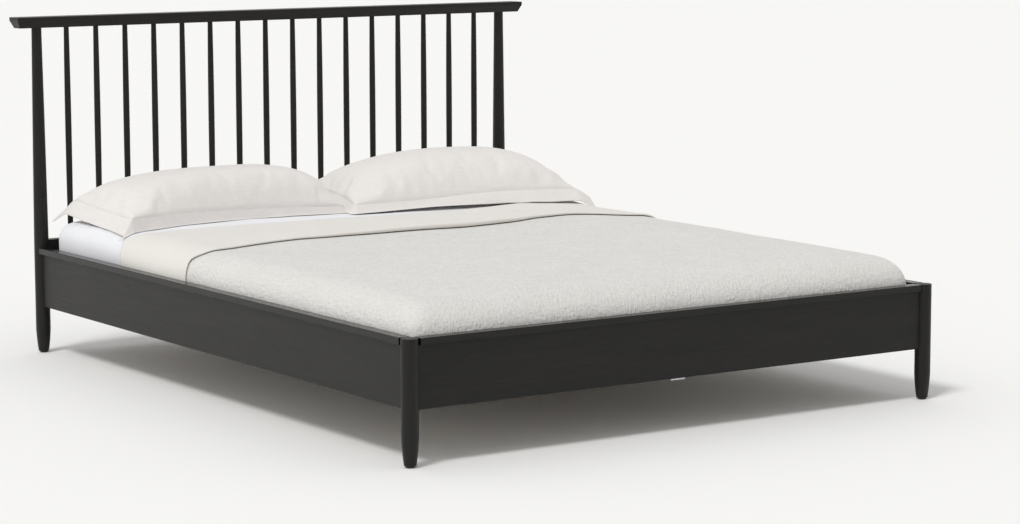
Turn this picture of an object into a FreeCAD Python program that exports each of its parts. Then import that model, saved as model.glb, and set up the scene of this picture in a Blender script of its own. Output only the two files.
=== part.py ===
"""Spindle bed: a headboard of turned posts and spindles under a bevelled crest rail, panelled rails with
cap strips between turned legs, a slatted base on a centre beam, and the mattress with its bedding.

Millimetres. +X runs across the bed, +Y towards the headboard and +Z up. The origin is on the floor, at the
centre of the bed's outline.
"""
import FreeCAD, Part
import os
import Sketcher

SPINDLES = 16
SPINDLE_SIDES = 12
TENON_SIDES = 8
LEG_SIDES = 24
SLATS = 13
LEFT, RIGHT = -1, 1

DRIVING_SIZES = (
    # the bed as a whole
    ("head_to_foot", 2076.5, "headboard centre plane to the front leg axes"),
    ("rail_top", 316.0, "top of the cap strips and front legs above the floor"),
    ("panel_underside", 140.0, "underside of the panels above the floor"),
    ("seat_gap", 0.2, "play where a square end or a hollow meets a turned post"),
    # crest rail
    ("crest_underside", 969.0, "underside of the crest rail above the floor"),
    ("crest_length", 1780.0, "crest rail, end to end along its top"),
    ("crest_overhang", 72.0, "crest rail's end past a post's axis"),
    ("crest_depth", 60.0, "crest rail, front to back along its top"),
    ("crest_fascia", 10.0, "upright edge above the crest rail's bevel"),
    ("crest_bevel_drop", 22.0, "height of the bevel under the fascia"),
    ("crest_bevel_inset", 10.0, "how far the bevel runs in, on all four sides"),
    ("crest_rounding", 1.5, "radius along the crest rail's top edges"),
    # posts and legs
    ("leg_diameter", 42.0, "turned post and leg through the rails"),
    ("post_top_diameter", 27.0, "head post under the crest rail"),
    ("foot_diameter", 30.0, "bottom of a tapered foot"),
    ("foot_taper", 76.0, "height of the tapered foot above its glide"),
    ("foot_bevel", 3.0, "bevel round the bottom of a foot, inside its diameter"),
    ("leg_top_bevel", 1.0, "bevel round the top of a front leg"),
    ("glide_diameter", 22.0, "felt glide under a leg"),
    ("glide_thickness", 3.0, "felt glide under a leg"),
    ("post_tenon_diameter", 18.0, "round tenon on top of a head post"),
    ("post_tenon_length", 18.0, "round tenon on top of a head post"),
    # spindles
    ("spindle_end_diameter", 14.0, "spindle at its shoulders"),
    ("spindle_belly_diameter", 17.7, "spindle at half height"),
    ("spindle_tenon_diameter", 10.0, "round tenon at each end of a spindle"),
    ("spindle_tenon_length", 14.0, "round tenon at each end of a spindle"),
    ("tenon_play", 0.1, "glue gap round a tenon"),
    ("tenon_relief", 1.0, "space past the end of a tenon"),
    # headboard lower rail
    ("lower_rail_top", 339.0, "top of the headboard's lower rail above the floor"),
    ("lower_rail_tenon_thickness", 12.0, "flat tenon into the head post"),
    ("lower_rail_tenon_height", 100.0, "flat tenon into the head post"),
    ("lower_rail_tenon_drop", 20.0, "tenon's top edge below the lower rail's top"),
    ("lower_rail_tenon_depth", 16.0, "how far the tenon enters the post"),
    # panels and cap strips
    ("panel_thickness", 22.0, "side and foot panels"),
    ("panel_reach", 7.0, "panel's outer face outside the leg axis"),
    ("panel_bevel", 1.5, "bevel along a panel's lower edges"),
    ("strip_height", 18.0, "cap strip over a panel"),
    ("strip_reach", 16.5, "cap strip's outer face outside the leg axis"),
    ("strip_leg_gap", 2.0, "open joint between a strip's square end and a front leg"),
    ("strip_bevel", 1.0, "bevel along a strip's outer edges"),
    # slatted base
    ("slat_width", 90.0, "one slat, along the bed"),
    ("slat_thickness", 18.0, "one slat"),
    ("slat_top", 212.0, "top of the slats above the floor"),
    ("slat_end_gap", 3.0, "slat's end to the panel's inner face"),
    ("slat_margin", 30.0, "first and last slats to the rail beside them"),
    ("slat_bevel", 3.0, "bevel along a slat's upper edges"),
    ("ledger_size", 30.0, "square batten that carries the slat ends"),
    ("ledger_brace_gap", 6.0, "batten's end to the corner brace"),
    ("strap_width", 30.0, "webbing under the slats"),
    ("strap_thickness", 1.2, "webbing under the slats"),
    ("strap_offset", 480.0, "webbing's centre line from the middle of the bed"),
    # centre beam and its legs
    ("beam_width", 40.0, "centre beam"),
    ("beam_depth", 60.0, "centre beam"),
    ("hanger_thickness", 2.0, "steel of a beam hanger"),
    ("hanger_height", 48.0, "cheeks of a beam hanger above its floor"),
    ("hanger_reach", 35.0, "how far a hanger's cheeks run along the beam"),
    ("hanger_play", 0.3, "hanger to beam, on each side"),
    ("centre_leg_width", 38.0, "square leg under the beam"),
    ("centre_leg_tenon_diameter", 20.0, "round tenon into the beam"),
    ("centre_leg_tenon_length", 25.0, "round tenon into the beam"),
    ("leveller_base_diameter", 34.0, "levelling foot's six-sided base, across its corners"),
    ("leveller_base_thickness", 5.0, "levelling foot's six-sided base"),
    ("leveller_gap", 5.0, "base to the bottom of its leg, fully screwed in"),
    ("leveller_stem_diameter", 8.0, "levelling foot's stem"),
    ("leveller_stem_length", 32.0, "levelling foot's stem above its base"),
    ("leveller_bore_play", 0.1, "stem to the wall of its bore"),
    # corner fixings
    ("brace_thickness", 3.0, "steel of a corner brace"),
    ("brace_height", 44.0, "corner brace"),
    ("brace_corner", 60.0, "corner to where the brace leaves each rail"),
    ("brace_flange", 35.0, "length of each flange along its rail"),
    ("brace_slat_gap", 4.0, "brace's top edge to the slats above it"),
    ("bolt_diameter", 8.0, "hanger bolt from the leg through the brace"),
    ("bolt_length", 80.0, "hanger bolt"),
    ("bolt_stick_out", 5.0, "bolt's end past its nut"),
    ("bolt_play", 0.5, "bolt to its hole in the brace, and to the nut's bore"),
    ("nut_width", 13.0, "brace nut across its flats"),
    ("nut_thickness", 6.5, "brace nut"),
    # mattress and bedding
    ("mattress_thickness", 193.0, "mattress at its crown"),
    ("mattress_side_gap", 9.0, "mattress to each side panel"),
    ("mattress_corner", 70.0, "radius of the mattress in plan"),
    ("mattress_wall_drop", 95.0, "top of the mattress's upright wall below its crown"),
    ("mattress_shoulder_inset", 20.0, "mattress's shoulder in from its wall"),
    ("mattress_shoulder_drop", 42.0, "mattress's shoulder below its crown"),
    ("mattress_brow_inset", 75.0, "mattress's upper edge in from its wall"),
    ("mattress_brow_drop", 14.0, "mattress's upper edge below its crown"),
    ("mattress_crown_inset", 260.0, "level part of the mattress's crown in from its wall"),
    ("mattress_foot_gap", 9.0, "mattress to the foot panel"),
    ("mattress_head_gap", 47.5, "mattress to the headboard's lower rail"),
    ("sheet_thickness", 1.2, "fitted sheet"),
    ("sheet_rise", 30.0, "lower edge of the fitted sheet above the slats"),
    ("coverlet_thickness", 4.0, "coverlet"),
    ("coverlet_rise", 60.0, "lower edge of the coverlet above the slats"),
    ("layer_gap", 0.3, "air between one layer of bedding and the next"),
    ("turn_down_near", 900.0, "near edge of the turned-down band from the headboard's plane"),
    ("turn_down_far", 490.0, "far edge of the turned-down band from the headboard's plane"),
    ("turn_down_thickness", 4.5, "turned-down band"),
    ("pillow_length", 790.0, "pillow with its flange, across the bed"),
    ("pillow_width", 490.0, "pillow with its flange, along the bed"),
    ("pillow_height", 148.0, "pillow"),
    ("pillow_flange", 45.0, "flat border round a pillow"),
    ("pillow_flange_thickness", 5.0, "flat border round a pillow"),
    ("pillow_flange_rise", 38.0, "border above the pillow's underside"),
    ("pillow_shoulder_inset", 40.0, "pillow's shoulder in from its sewn edge"),
    ("pillow_shoulder_rise", 100.0, "pillow's shoulder above its underside"),
    ("pillow_crown_inset", 120.0, "pillow's top plane in from its sewn edge"),
    ("pillow_corner_inset", 190.0, "how far in a pillow's corners slope from seam to crown, across the corner"),
    ("pillow_base_inset", 45.0, "pillow's resting face in from its sewn edge"),
    ("pillow_gap", 8.0, "between the two pillows"),
    ("pillow_left_head_gap", 24.0, "left pillow to the headboard's centre plane"),
    ("pillow_right_head_gap", 80.0, "right pillow to the headboard's centre plane"),
)

# Sizes that fit others, written as the sheet's own formulas.
SETBACK_PAIR = "2 * (panel_thickness - panel_reach)"
FITTED_SIZES = (
    ("post_spacing", "=crest_length - 2 * crest_overhang", "left to right axes of the posts, and of the legs"),
    ("mattress_width", f"=post_spacing - {SETBACK_PAIR} - 2 * mattress_side_gap", "mattress"),
    (
        "mattress_length",
        f"=head_to_foot - {SETBACK_PAIR} - mattress_foot_gap - mattress_head_gap",
        "mattress",
    ),
)

doc = FreeCAD.newDocument("SpindleBed")
sheet = doc.addObject("Spreadsheet::Sheet", "Sizes")
for row, (alias, size, meaning) in enumerate(DRIVING_SIZES + FITTED_SIZES, start=1):
    sheet.set(f"A{row}", meaning)
    sheet.set(f"B{row}", str(size))
    sheet.setAlias(f"B{row}", alias)
doc.recompute()


def evaluate(expression):
    """The number that an expression of the sheet's cells stands for."""
    result = sheet.evalExpression(str(expression))
    return float(getattr(result, "Value", result))


# Places and sizes that follow from the driving ones, as expressions of the sheet's cells.
LEG_X = "Sizes.post_spacing / 2"
LEG_RADIUS = "Sizes.leg_diameter / 2"
HEAD_Y = "(Sizes.head_to_foot + Sizes.leg_diameter / 2 - Sizes.crest_depth / 2) / 2"
FOOT_Y = f"({HEAD_Y} - Sizes.head_to_foot)"
SPINDLE_PITCH = f"(Sizes.post_spacing / {SPINDLES + 1})"
SPINDLE_LENGTH = "(Sizes.crest_underside - Sizes.lower_rail_top)"
INNER_SETBACK = "(Sizes.panel_thickness - Sizes.panel_reach)"
INNER_X = f"({LEG_X} - {INNER_SETBACK})"
INNER_HEAD_Y = f"({HEAD_Y} - {INNER_SETBACK})"
INNER_FOOT_Y = f"({FOOT_Y} + {INNER_SETBACK})"
INNER_LENGTH = f"({INNER_HEAD_Y} - {INNER_FOOT_Y})"
PANEL_HEIGHT = "(Sizes.rail_top - Sizes.strip_height - Sizes.panel_underside)"
LEG_CLEAR = f"({LEG_RADIUS} + Sizes.seat_gap)"
LEG_BOTTOM = "Sizes.glide_thickness"
LEDGER_TOP = "(Sizes.slat_top - Sizes.slat_thickness)"
BRACE_BOTTOM = f"({LEDGER_TOP} - Sizes.brace_slat_gap - Sizes.brace_height)"
BOLT_Z = f"({BRACE_BOTTOM} + Sizes.brace_height / 2)"
CORNER_TO_AXIS = f"({INNER_SETBACK} * sqrt(2))"
WEB_FROM_AXIS = f"({CORNER_TO_AXIS} + Sizes.brace_corner / sqrt(2))"
NUT_FROM_AXIS = f"({WEB_FROM_AXIS} + Sizes.brace_thickness)"
BOLT_END = f"({NUT_FROM_AXIS} + Sizes.nut_thickness + Sizes.bolt_stick_out)"
BOLT_START = f"({BOLT_END} - Sizes.bolt_length)"
SLEEVE = "(Sizes.sheet_thickness + Sizes.layer_gap)"
MATTRESS_FOOT_Y = f"({INNER_FOOT_Y} + Sizes.mattress_foot_gap)"
MATTRESS_HEAD_Y = f"({MATTRESS_FOOT_Y} + Sizes.mattress_length)"
MATTRESS_MIDDLE_Y = f"({MATTRESS_FOOT_Y} + Sizes.mattress_length / 2)"
MATTRESS_TOP = "(Sizes.slat_top + Sizes.mattress_thickness)"
SHEET_TOP = f"({MATTRESS_TOP} + {SLEEVE})"

# The mattress's section above its upright wall, from there to its crown: inset from the wall, drop below the top.
MATTRESS_TIERS = (
    ("0", "Sizes.mattress_wall_drop"),
    ("Sizes.mattress_shoulder_inset", "Sizes.mattress_shoulder_drop"),
    ("Sizes.mattress_brow_inset", "Sizes.mattress_brow_drop"),
    ("Sizes.mattress_crown_inset", "0"),
)

parts = {}


def origin_plane(body, role):
    """One of a body's own origin planes."""
    return next(item for item in body.Origin.OriginFeatures if item.Role == role)


def new_body(label):
    body = doc.addObject("PartDesign::Body", label)
    body.Label = label
    return body


def place(item, x="0", y="0", z="0", turn=0.0):
    """Sets an item down at expressions x, y, z, turned about +Z by a fixed angle in degrees."""
    item.Placement = FreeCAD.Placement(FreeCAD.Vector(), FreeCAD.Rotation(FreeCAD.Vector(0, 0, 1), turn))
    for axis, expression in (("x", x), ("y", y), ("z", z)):
        item.setExpression(f"Placement.Base.{axis}", str(expression))


def new_sketch(body, name, role, lift="0", swing=0.0):
    """An empty sketch, lifted along its plane's normal and swung about its own vertical."""
    sketch = body.newObject("Sketcher::SketchObject", name)
    sketch.AttachmentSupport = [(origin_plane(body, role), "")]
    sketch.MapMode = "FlatFace"
    turn = FreeCAD.Rotation(FreeCAD.Vector(0, 1, 0), swing)
    sketch.AttachmentOffset = FreeCAD.Placement(FreeCAD.Vector(), turn)
    normal = turn.multVec(FreeCAD.Vector(0, 0, 1))
    sketch.setExpression("AttachmentOffset.Base.x", f"({lift}) * {normal.x:.9f}")
    sketch.setExpression("AttachmentOffset.Base.z", f"({lift}) * {normal.z:.9f}")
    return sketch


def fix_point(sketch, geometry, point, x, y):
    """Dimensions one sketch point from the sketch's origin."""
    for kind, expression in (("DistanceX", x), ("DistanceY", y)):
        rule = Sketcher.Constraint(kind, -1, 1, geometry, point, evaluate(expression))
        index = sketch.addConstraint(rule)
        sketch.setExpression(f"Constraints[{index}]", str(expression))


def outline(body, name, role, corners, lift="0"):
    """A closed outline of straight lines through corners given as expressions."""
    sketch = new_sketch(body, name, role, lift)
    spots = [FreeCAD.Vector(evaluate(x), evaluate(y), 0) for x, y in corners]
    for index, spot in enumerate(spots):
        sketch.addGeometry(Part.LineSegment(spot, spots[(index + 1) % len(spots)]), False)
    for index in range(len(spots)):
        following = (index + 1) % len(spots)
        sketch.addConstraint(Sketcher.Constraint("Coincident", index, 2, following, 1))
    for index, (x, y) in enumerate(corners):
        fix_point(sketch, index, 1, x, y)
    return sketch


def rectangle(body, name, role, low, high, lift="0"):
    """An upright rectangle between two corners."""
    corners = [low, (high[0], low[1]), high, (low[0], high[1])]
    return outline(body, name, role, corners, lift)


def disc(body, name, role, diameter, x="0", y="0", lift="0", swing=0.0):
    """A circle about a point of its plane."""
    sketch = new_sketch(body, name, role, lift, swing)
    centre = FreeCAD.Vector(evaluate(x), evaluate(y), 0)
    circle = Part.Circle(centre, FreeCAD.Vector(0, 0, 1), evaluate(diameter) / 2)
    sketch.addGeometry(circle, False)
    fix_point(sketch, 0, 3, x, y)
    index = sketch.addConstraint(Sketcher.Constraint("Diameter", 0, evaluate(diameter)))
    sketch.setExpression(f"Constraints[{index}]", str(diameter))
    return sketch


def polygon(body, name, sides, diameter, x="0", lift="0"):
    """A regular polygon of few sides, for slender round work that repeats many times."""
    angles = [360 * index / sides for index in range(sides)]
    corners = [
        (f"{x} + ({diameter}) / 2 * cos({angle} deg)", f"({diameter}) / 2 * sin({angle} deg)")
        for angle in angles
    ]
    return outline(body, name, "XY_Plane", corners, lift)


def pad(body, sketch, length, reverse=False):
    feature = body.newObject("PartDesign::Pad", f"{sketch.Name}_pad")
    feature.Profile = sketch
    feature.Reversed = reverse
    feature.setExpression("Length", str(length))
    return feature


def pocket(body, sketch, depth, reverse=False):
    """Cuts a sketch into its body, and makes sure that something was cut."""
    doc.recompute()
    before = body.Shape.Volume
    feature = body.newObject("PartDesign::Pocket", f"{sketch.Name}_pocket")
    feature.Profile = sketch
    feature.Reversed = reverse
    feature.setExpression("Length", str(depth))
    doc.recompute()
    assert body.Shape.Volume < before, f"{feature.Name} cuts nothing"
    return feature


def loft(body, sketches):
    """Joins one section to the next with straight sides."""
    feature = body.newObject("PartDesign::AdditiveLoft", f"{sketches[0].Name}_loft")
    feature.Profile = sketches[0]
    feature.Sections = sketches[1:]
    feature.Ruled = True
    return feature


def round_edges(body, radius, chosen):
    """Rounds the edges of a body's shape whose bounding box passes a test."""
    doc.recompute()
    tip = body.Tip
    names = [f"Edge{index}" for index, edge in enumerate(tip.Shape.Edges, start=1) if chosen(edge.BoundBox)]
    assert names, f"{body.Label} has no edge to round"
    feature = body.newObject("PartDesign::Fillet", f"{body.Name}_rounding_{len(body.Group)}")
    feature.Base = (tip, names)
    feature.setExpression("Radius", str(radius))
    doc.recompute()
    return feature


def bevel_edges(body, size, chosen):
    """Bevels the edges of a body's shape whose bounding box passes a test."""
    doc.recompute()
    tip = body.Tip
    names = [f"Edge{index}" for index, edge in enumerate(tip.Shape.Edges, start=1) if chosen(edge.BoundBox)]
    assert names, f"{body.Label} has no edge to bevel"
    feature = body.newObject("PartDesign::Chamfer", f"{body.Name}_bevel_{len(body.Group)}")
    feature.Base = (tip, names)
    feature.setExpression("Size", str(size))
    doc.recompute()
    return feature


def taper_end(body, height, inset, run):
    """Tapers a many-sided shaft in by an inset at the end that lies at a height, over a run of its length."""
    doc.recompute()
    level = evaluate(height)
    tip = body.Tip
    edges = enumerate(tip.Shape.Edges, start=1)
    names = [f"Edge{index}" for index, edge in edges if edge.BoundBox.ZLength < 0.01 and near(edge.BoundBox.ZMin, level)]
    feature = body.newObject("PartDesign::Chamfer", f"{body.Name}_taper_{len(body.Group)}")
    feature.Base = (tip, names)
    feature.ChamferType = "Two distances"
    feature.setExpression("Size", f"({run})")
    feature.setExpression("Size2", f"({inset}) * cos({180 / LEG_SIDES} deg)")
    doc.recompute()
    return feature


def near(a, b):
    """True for two lengths that agree, to within how exactly a shape is bounded."""
    return abs(a - b) < 0.01


def group(label, members):
    """One sub-part made of several like pieces."""
    compound = doc.addObject("Part::Compound", label)
    compound.Label = label
    compound.Links = members
    return compound


def side_name(side):
    return "left" if side == LEFT else "right"


# ---------------------------------------------------------------- headboard

def make_crest_rail():
    """The crest rail: an upright fascia over a bevel that runs round all four sides, mortised beneath."""
    body = new_body("crest_rail")
    place(body, y=HEAD_Y, z="Sizes.crest_underside")

    def half_sizes(inset):
        return f"(Sizes.crest_length / 2 - {inset})", f"(Sizes.crest_depth / 2 - {inset})"

    narrow = half_sizes("Sizes.crest_bevel_inset")
    full = half_sizes("0")
    drop = "Sizes.crest_bevel_drop"
    under = rectangle(body, "crest_under", "XY_Plane", (f"-{narrow[0]}", f"-{narrow[1]}"), narrow)
    brim = rectangle(body, "crest_brim", "XY_Plane", (f"-{full[0]}", f"-{full[1]}"), full, lift=drop)
    loft(body, [under, brim])
    face = rectangle(body, "crest_face", "XY_Plane", (f"-{full[0]}", f"-{full[1]}"), full, lift=drop)
    pad(body, face, "Sizes.crest_fascia")
    crest_height = evaluate("Sizes.crest_bevel_drop + Sizes.crest_fascia")
    round_edges(body, "Sizes.crest_rounding", lambda box: near(box.ZMin, crest_height))

    hole = "Sizes.spindle_tenon_diameter + 2 * Sizes.tenon_play"
    first = polygon(body, "crest_spindle_hole", TENON_SIDES, hole, x=f"({SPINDLE_PITCH} - {LEG_X})")
    drilled = pocket(body, first, "Sizes.spindle_tenon_length + Sizes.tenon_relief", reverse=True)
    pattern_along(body, drilled, first)
    for side in (LEFT, RIGHT):
        wide = "Sizes.post_tenon_diameter + 2 * Sizes.tenon_play"
        name = f"crest_post_hole_{side_name(side)}"
        socket = disc(body, name, "XY_Plane", wide, x=f"{side} * {LEG_X}")
        pocket(body, socket, "Sizes.post_tenon_length + Sizes.tenon_relief", reverse=True)
    parts["crest_rail"] = body


def pattern_along(body, drilled, sketch):
    """Repeats a spindle's hole along its rail."""
    pattern = body.newObject("PartDesign::LinearPattern", f"{drilled.Name}_row")
    pattern.Originals = [drilled]
    pattern.Direction = (sketch, ["H_Axis"])
    pattern.Occurrences = SPINDLES
    pattern.setExpression("Length", f"{SPINDLE_PITCH} * {SPINDLES - 1}")
    body.Tip = pattern
    doc.recompute()


def make_lower_rail():
    """The headboard's lower rail: hollowed ends against the posts, a flat tenon into each, and mortises."""
    label = "headboard_lower_rail"
    body = new_body(label)
    place(body, y=HEAD_Y, z="Sizes.panel_underside")
    height = "(Sizes.lower_rail_top - Sizes.panel_underside)"
    low = (f"-{LEG_X}", f"-{INNER_SETBACK}")
    board = rectangle(body, "lower_rail_plan", "XY_Plane", low, (LEG_X, INNER_SETBACK))
    pad(body, board, height)
    for side in (LEFT, RIGHT):
        name = f"lower_rail_hollow_{side_name(side)}"
        hollow = disc(body, name, "XY_Plane", f"2 * {LEG_CLEAR}", x=f"{side} * {LEG_X}")
        pocket(body, hollow, height, reverse=True)

    for side in (LEFT, RIGHT):
        drill_for_bolt(body, side)

    tenon_end = f"({LEG_X} - {LEG_RADIUS} + Sizes.lower_rail_tenon_depth)"
    tenon_root = f"({LEG_X} - 1.5 * {LEG_RADIUS})"
    tenon_top = f"({height} - Sizes.lower_rail_tenon_drop)"
    half_tenon = "Sizes.lower_rail_tenon_thickness / 2"
    for side in (LEFT, RIGHT):
        ends = sorted((f"{side} * {tenon_root}", f"{side} * {tenon_end}"), key=evaluate)
        name = f"lower_rail_tenon_{side_name(side)}"
        low = (ends[0], f"-{half_tenon}")
        lift = f"{tenon_top} - Sizes.lower_rail_tenon_height"
        tongue = rectangle(body, name, "XY_Plane", low, (ends[1], half_tenon), lift=lift)
        pad(body, tongue, "Sizes.lower_rail_tenon_height")

    hole = "Sizes.spindle_tenon_diameter + 2 * Sizes.tenon_play"
    first = polygon(body, "lower_rail_hole", TENON_SIDES, hole, x=f"({SPINDLE_PITCH} - {LEG_X})", lift=height)
    drilled = pocket(body, first, "Sizes.spindle_tenon_length + Sizes.tenon_relief")
    pattern_along(body, drilled, first)
    parts[label] = body


def drill_for_bolt(body, side):
    """Clears the lower rail's front corner for the hanger bolt that passes it on its way to the brace."""
    name = f"lower_rail_bolt_hole_{side_name(side)}"
    along = f"{LEG_X} / sqrt(2)"
    width = "Sizes.bolt_diameter + 2 * Sizes.bolt_play"
    y = f"{BOLT_Z} - Sizes.panel_underside"
    hole = disc(body, name, "YZ_Plane", width, x=f"-{along}", y=y, lift=f"{side} * {along}", swing=45 * side)
    pocket(body, hole, f"{CORNER_TO_AXIS} + Sizes.bolt_diameter", reverse=side == LEFT)


def make_spindle(number):
    """One spindle: fullest at half height, drawn in to a shoulder and a round tenon at each end."""
    label = f"spindle_{number:02d}"
    body = new_body(label)
    place(body, x=f"{number} * {SPINDLE_PITCH} - {LEG_X}", y=HEAD_Y, z="Sizes.lower_rail_top")
    swell = "(Sizes.spindle_belly_diameter - Sizes.spindle_end_diameter)"
    sections = []
    for quarter in range(5):
        fullness = 1 - (quarter / 2 - 1) ** 2
        diameter = f"(Sizes.spindle_end_diameter + {swell} * {fullness})"
        lift = f"{SPINDLE_LENGTH} * {quarter} / 4"
        sections.append(polygon(body, f"{label}_section_{quarter}", SPINDLE_SIDES, diameter, lift=lift))
    loft(body, sections)
    tenon = "Sizes.spindle_tenon_diameter"
    lower = polygon(body, f"{label}_lower_tenon", TENON_SIDES, tenon)
    pad(body, lower, "Sizes.spindle_tenon_length", reverse=True)
    upper = polygon(body, f"{label}_upper_tenon", TENON_SIDES, tenon, lift=SPINDLE_LENGTH)
    pad(body, upper, "Sizes.spindle_tenon_length")
    parts[label] = body


# ---------------------------------------------------------------- posts and legs

def leg_shaft(body, top):
    """A leg's even column up to a height, tapered to its foot, with a bevel round the foot's bottom."""
    column = polygon(body, f"{body.Name}_column", LEG_SIDES, "Sizes.leg_diameter", lift=LEG_BOTTOM)
    pad(body, column, f"{top} - {LEG_BOTTOM}")
    taper_end(body, LEG_BOTTOM, f"{LEG_RADIUS} - Sizes.foot_diameter / 2", "Sizes.foot_taper")
    taper_end(body, LEG_BOTTOM, "Sizes.foot_bevel", "Sizes.foot_bevel")


def bore_for_bolt(body, swing):
    """The blind hole for a hanger bolt, level, and swung to point at the corner brace."""
    start = f"({BOLT_START} - Sizes.tenon_relief)"
    name = f"{body.Name}_bolt_hole"
    hole = disc(body, name, "YZ_Plane", "Sizes.bolt_diameter", y=BOLT_Z, lift=start, swing=swing)
    pocket(body, hole, f"{LEG_RADIUS} + 1 - {start}", reverse=True)


def make_head_post(side):
    """A head post: tapered foot, even column through the rails, then a long taper up to its round tenon."""
    label = f"head_post_{side_name(side)}"
    body = new_body(label)
    place(body, x=f"{side} * {LEG_X}", y=HEAD_Y, turn=0 if side == LEFT else 180)
    leg_shaft(body, "Sizes.rail_top")
    ends = (("Sizes.rail_top", "Sizes.leg_diameter"), ("Sizes.crest_underside", "Sizes.post_top_diameter"))
    loft(body, [polygon(body, f"{label}_taper", LEG_SIDES, width, lift=height) for height, width in ends])
    tenon = disc(body, f"{label}_tenon", "XY_Plane", "Sizes.post_tenon_diameter", lift="Sizes.crest_underside")
    pad(body, tenon, "Sizes.post_tenon_length")
    bore_for_bolt(body, 45 * side)

    half_slot = "(Sizes.lower_rail_tenon_thickness / 2 + Sizes.tenon_play)"
    slot_end = f"({LEG_RADIUS} - Sizes.lower_rail_tenon_depth - Sizes.tenon_relief)"
    slot_top = "(Sizes.lower_rail_top - Sizes.lower_rail_tenon_drop + Sizes.tenon_play)"
    slot_bottom = f"({slot_top} - Sizes.lower_rail_tenon_height - 2 * Sizes.tenon_play)"
    low, high = (f"-{half_slot}", slot_bottom), (half_slot, slot_top)
    slot = rectangle(body, f"{label}_mortise", "YZ_Plane", low, high, lift=slot_end)
    pocket(body, slot, f"{LEG_RADIUS} + 1 - {slot_end}", reverse=True)
    parts[label] = body


def make_front_leg(side):
    """A front leg: tapered foot and an even column, flat on top, level with the cap strips."""
    label = f"front_leg_{side_name(side)}"
    body = new_body(label)
    place(body, x=f"{side} * {LEG_X}", y=FOOT_Y, turn=0 if side == LEFT else 180)
    leg_shaft(body, "Sizes.rail_top")
    taper_end(body, "Sizes.rail_top", "Sizes.leg_top_bevel", "Sizes.leg_top_bevel")
    bore_for_bolt(body, -45 * side)
    parts[label] = body


def make_leg_glides():
    """A felt glide under each post and leg."""
    glides = []
    for side in (LEFT, RIGHT):
        for y in (HEAD_Y, FOOT_Y):
            glide = doc.addObject("Part::Prism", "glide")
            glide.Polygon = LEG_SIDES
            glide.setExpression("Circumradius", "Sizes.glide_diameter / 2")
            glide.setExpression("Height", "Sizes.glide_thickness")
            place(glide, x=f"{side} * {LEG_X}", y=y)
            glides.append(glide)
    parts["leg_glides"] = group("leg_glides", glides)


# ---------------------------------------------------------------- panels and strips

def make_side_panel(side):
    """A side panel, square-ended between the front leg and the head post."""
    label = f"side_panel_{side_name(side)}"
    body = new_body(label)
    place(body, x=f"{side} * {INNER_X}", y=f"{HEAD_Y} - {LEG_CLEAR}", z="Sizes.panel_underside")
    faces = sorted(("0", f"{side} * Sizes.panel_thickness"), key=evaluate)
    section = rectangle(body, f"{label}_section", "XZ_Plane", (faces[0], "0"), (faces[1], PANEL_HEIGHT))
    pad(body, section, f"Sizes.head_to_foot - 2 * {LEG_CLEAR}")
    bevel_edges(body, "Sizes.panel_bevel", lambda box: near(box.ZMax, 0) and box.YLength > 100)
    parts[label] = body


def make_foot_panel():
    """The foot panel, square-ended between the front legs."""
    body = new_body("foot_panel")
    place(body, x=f"{LEG_CLEAR} - {LEG_X}", y=INNER_FOOT_Y, z="Sizes.panel_underside")
    low, high = ("-Sizes.panel_thickness", "0"), ("0", PANEL_HEIGHT)
    section = rectangle(body, "foot_panel_section", "YZ_Plane", low, high)
    pad(body, section, f"Sizes.post_spacing - 2 * {LEG_CLEAR}")
    bevel_edges(body, "Sizes.panel_bevel", lambda box: near(box.ZMax, 0) and box.XLength > 100)
    parts["foot_panel"] = body


def make_side_strip(side):
    """A side cap strip: proud of its panel, open-jointed at the front leg, hollowed round the head post."""
    label = f"side_top_strip_{side_name(side)}"
    body = new_body(label)
    place(body, x=f"{side} * {LEG_X}", y=HEAD_Y, z="Sizes.rail_top - Sizes.strip_height")
    faces = sorted((f"-{side} * {INNER_SETBACK}", f"{side} * Sizes.strip_reach"), key=evaluate)
    section = rectangle(body, f"{label}_section", "XZ_Plane", (faces[0], "0"), (faces[1], "Sizes.strip_height"))
    pad(body, section, f"Sizes.head_to_foot - {LEG_RADIUS} - Sizes.strip_leg_gap")
    outer = evaluate(f"{side} * Sizes.strip_reach")
    bevel_edges(body, "Sizes.strip_bevel", lambda box: near(box.XMin, outer) and box.YLength > 100)
    hollow = disc(body, f"{label}_hollow", "XY_Plane", f"2 * {LEG_CLEAR}")
    pocket(body, hollow, "Sizes.strip_height", reverse=True)
    parts[label] = body


def make_foot_strip():
    """The foot cap strip, open-jointed at both front legs."""
    label = "foot_top_strip"
    body = new_body(label)
    end_gap = f"({LEG_RADIUS} + Sizes.strip_leg_gap)"
    place(body, x=f"{end_gap} - {LEG_X}", y=FOOT_Y, z="Sizes.rail_top - Sizes.strip_height")
    low, high = ("-Sizes.strip_reach", "0"), (INNER_SETBACK, "Sizes.strip_height")
    section = rectangle(body, f"{label}_section", "YZ_Plane", low, high)
    pad(body, section, f"Sizes.post_spacing - 2 * {end_gap}")
    outer = evaluate("-Sizes.strip_reach")
    bevel_edges(body, "Sizes.strip_bevel", lambda box: near(box.YMax, outer) and box.XLength > 100)
    parts[label] = body


# ---------------------------------------------------------------- slatted base

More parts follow.
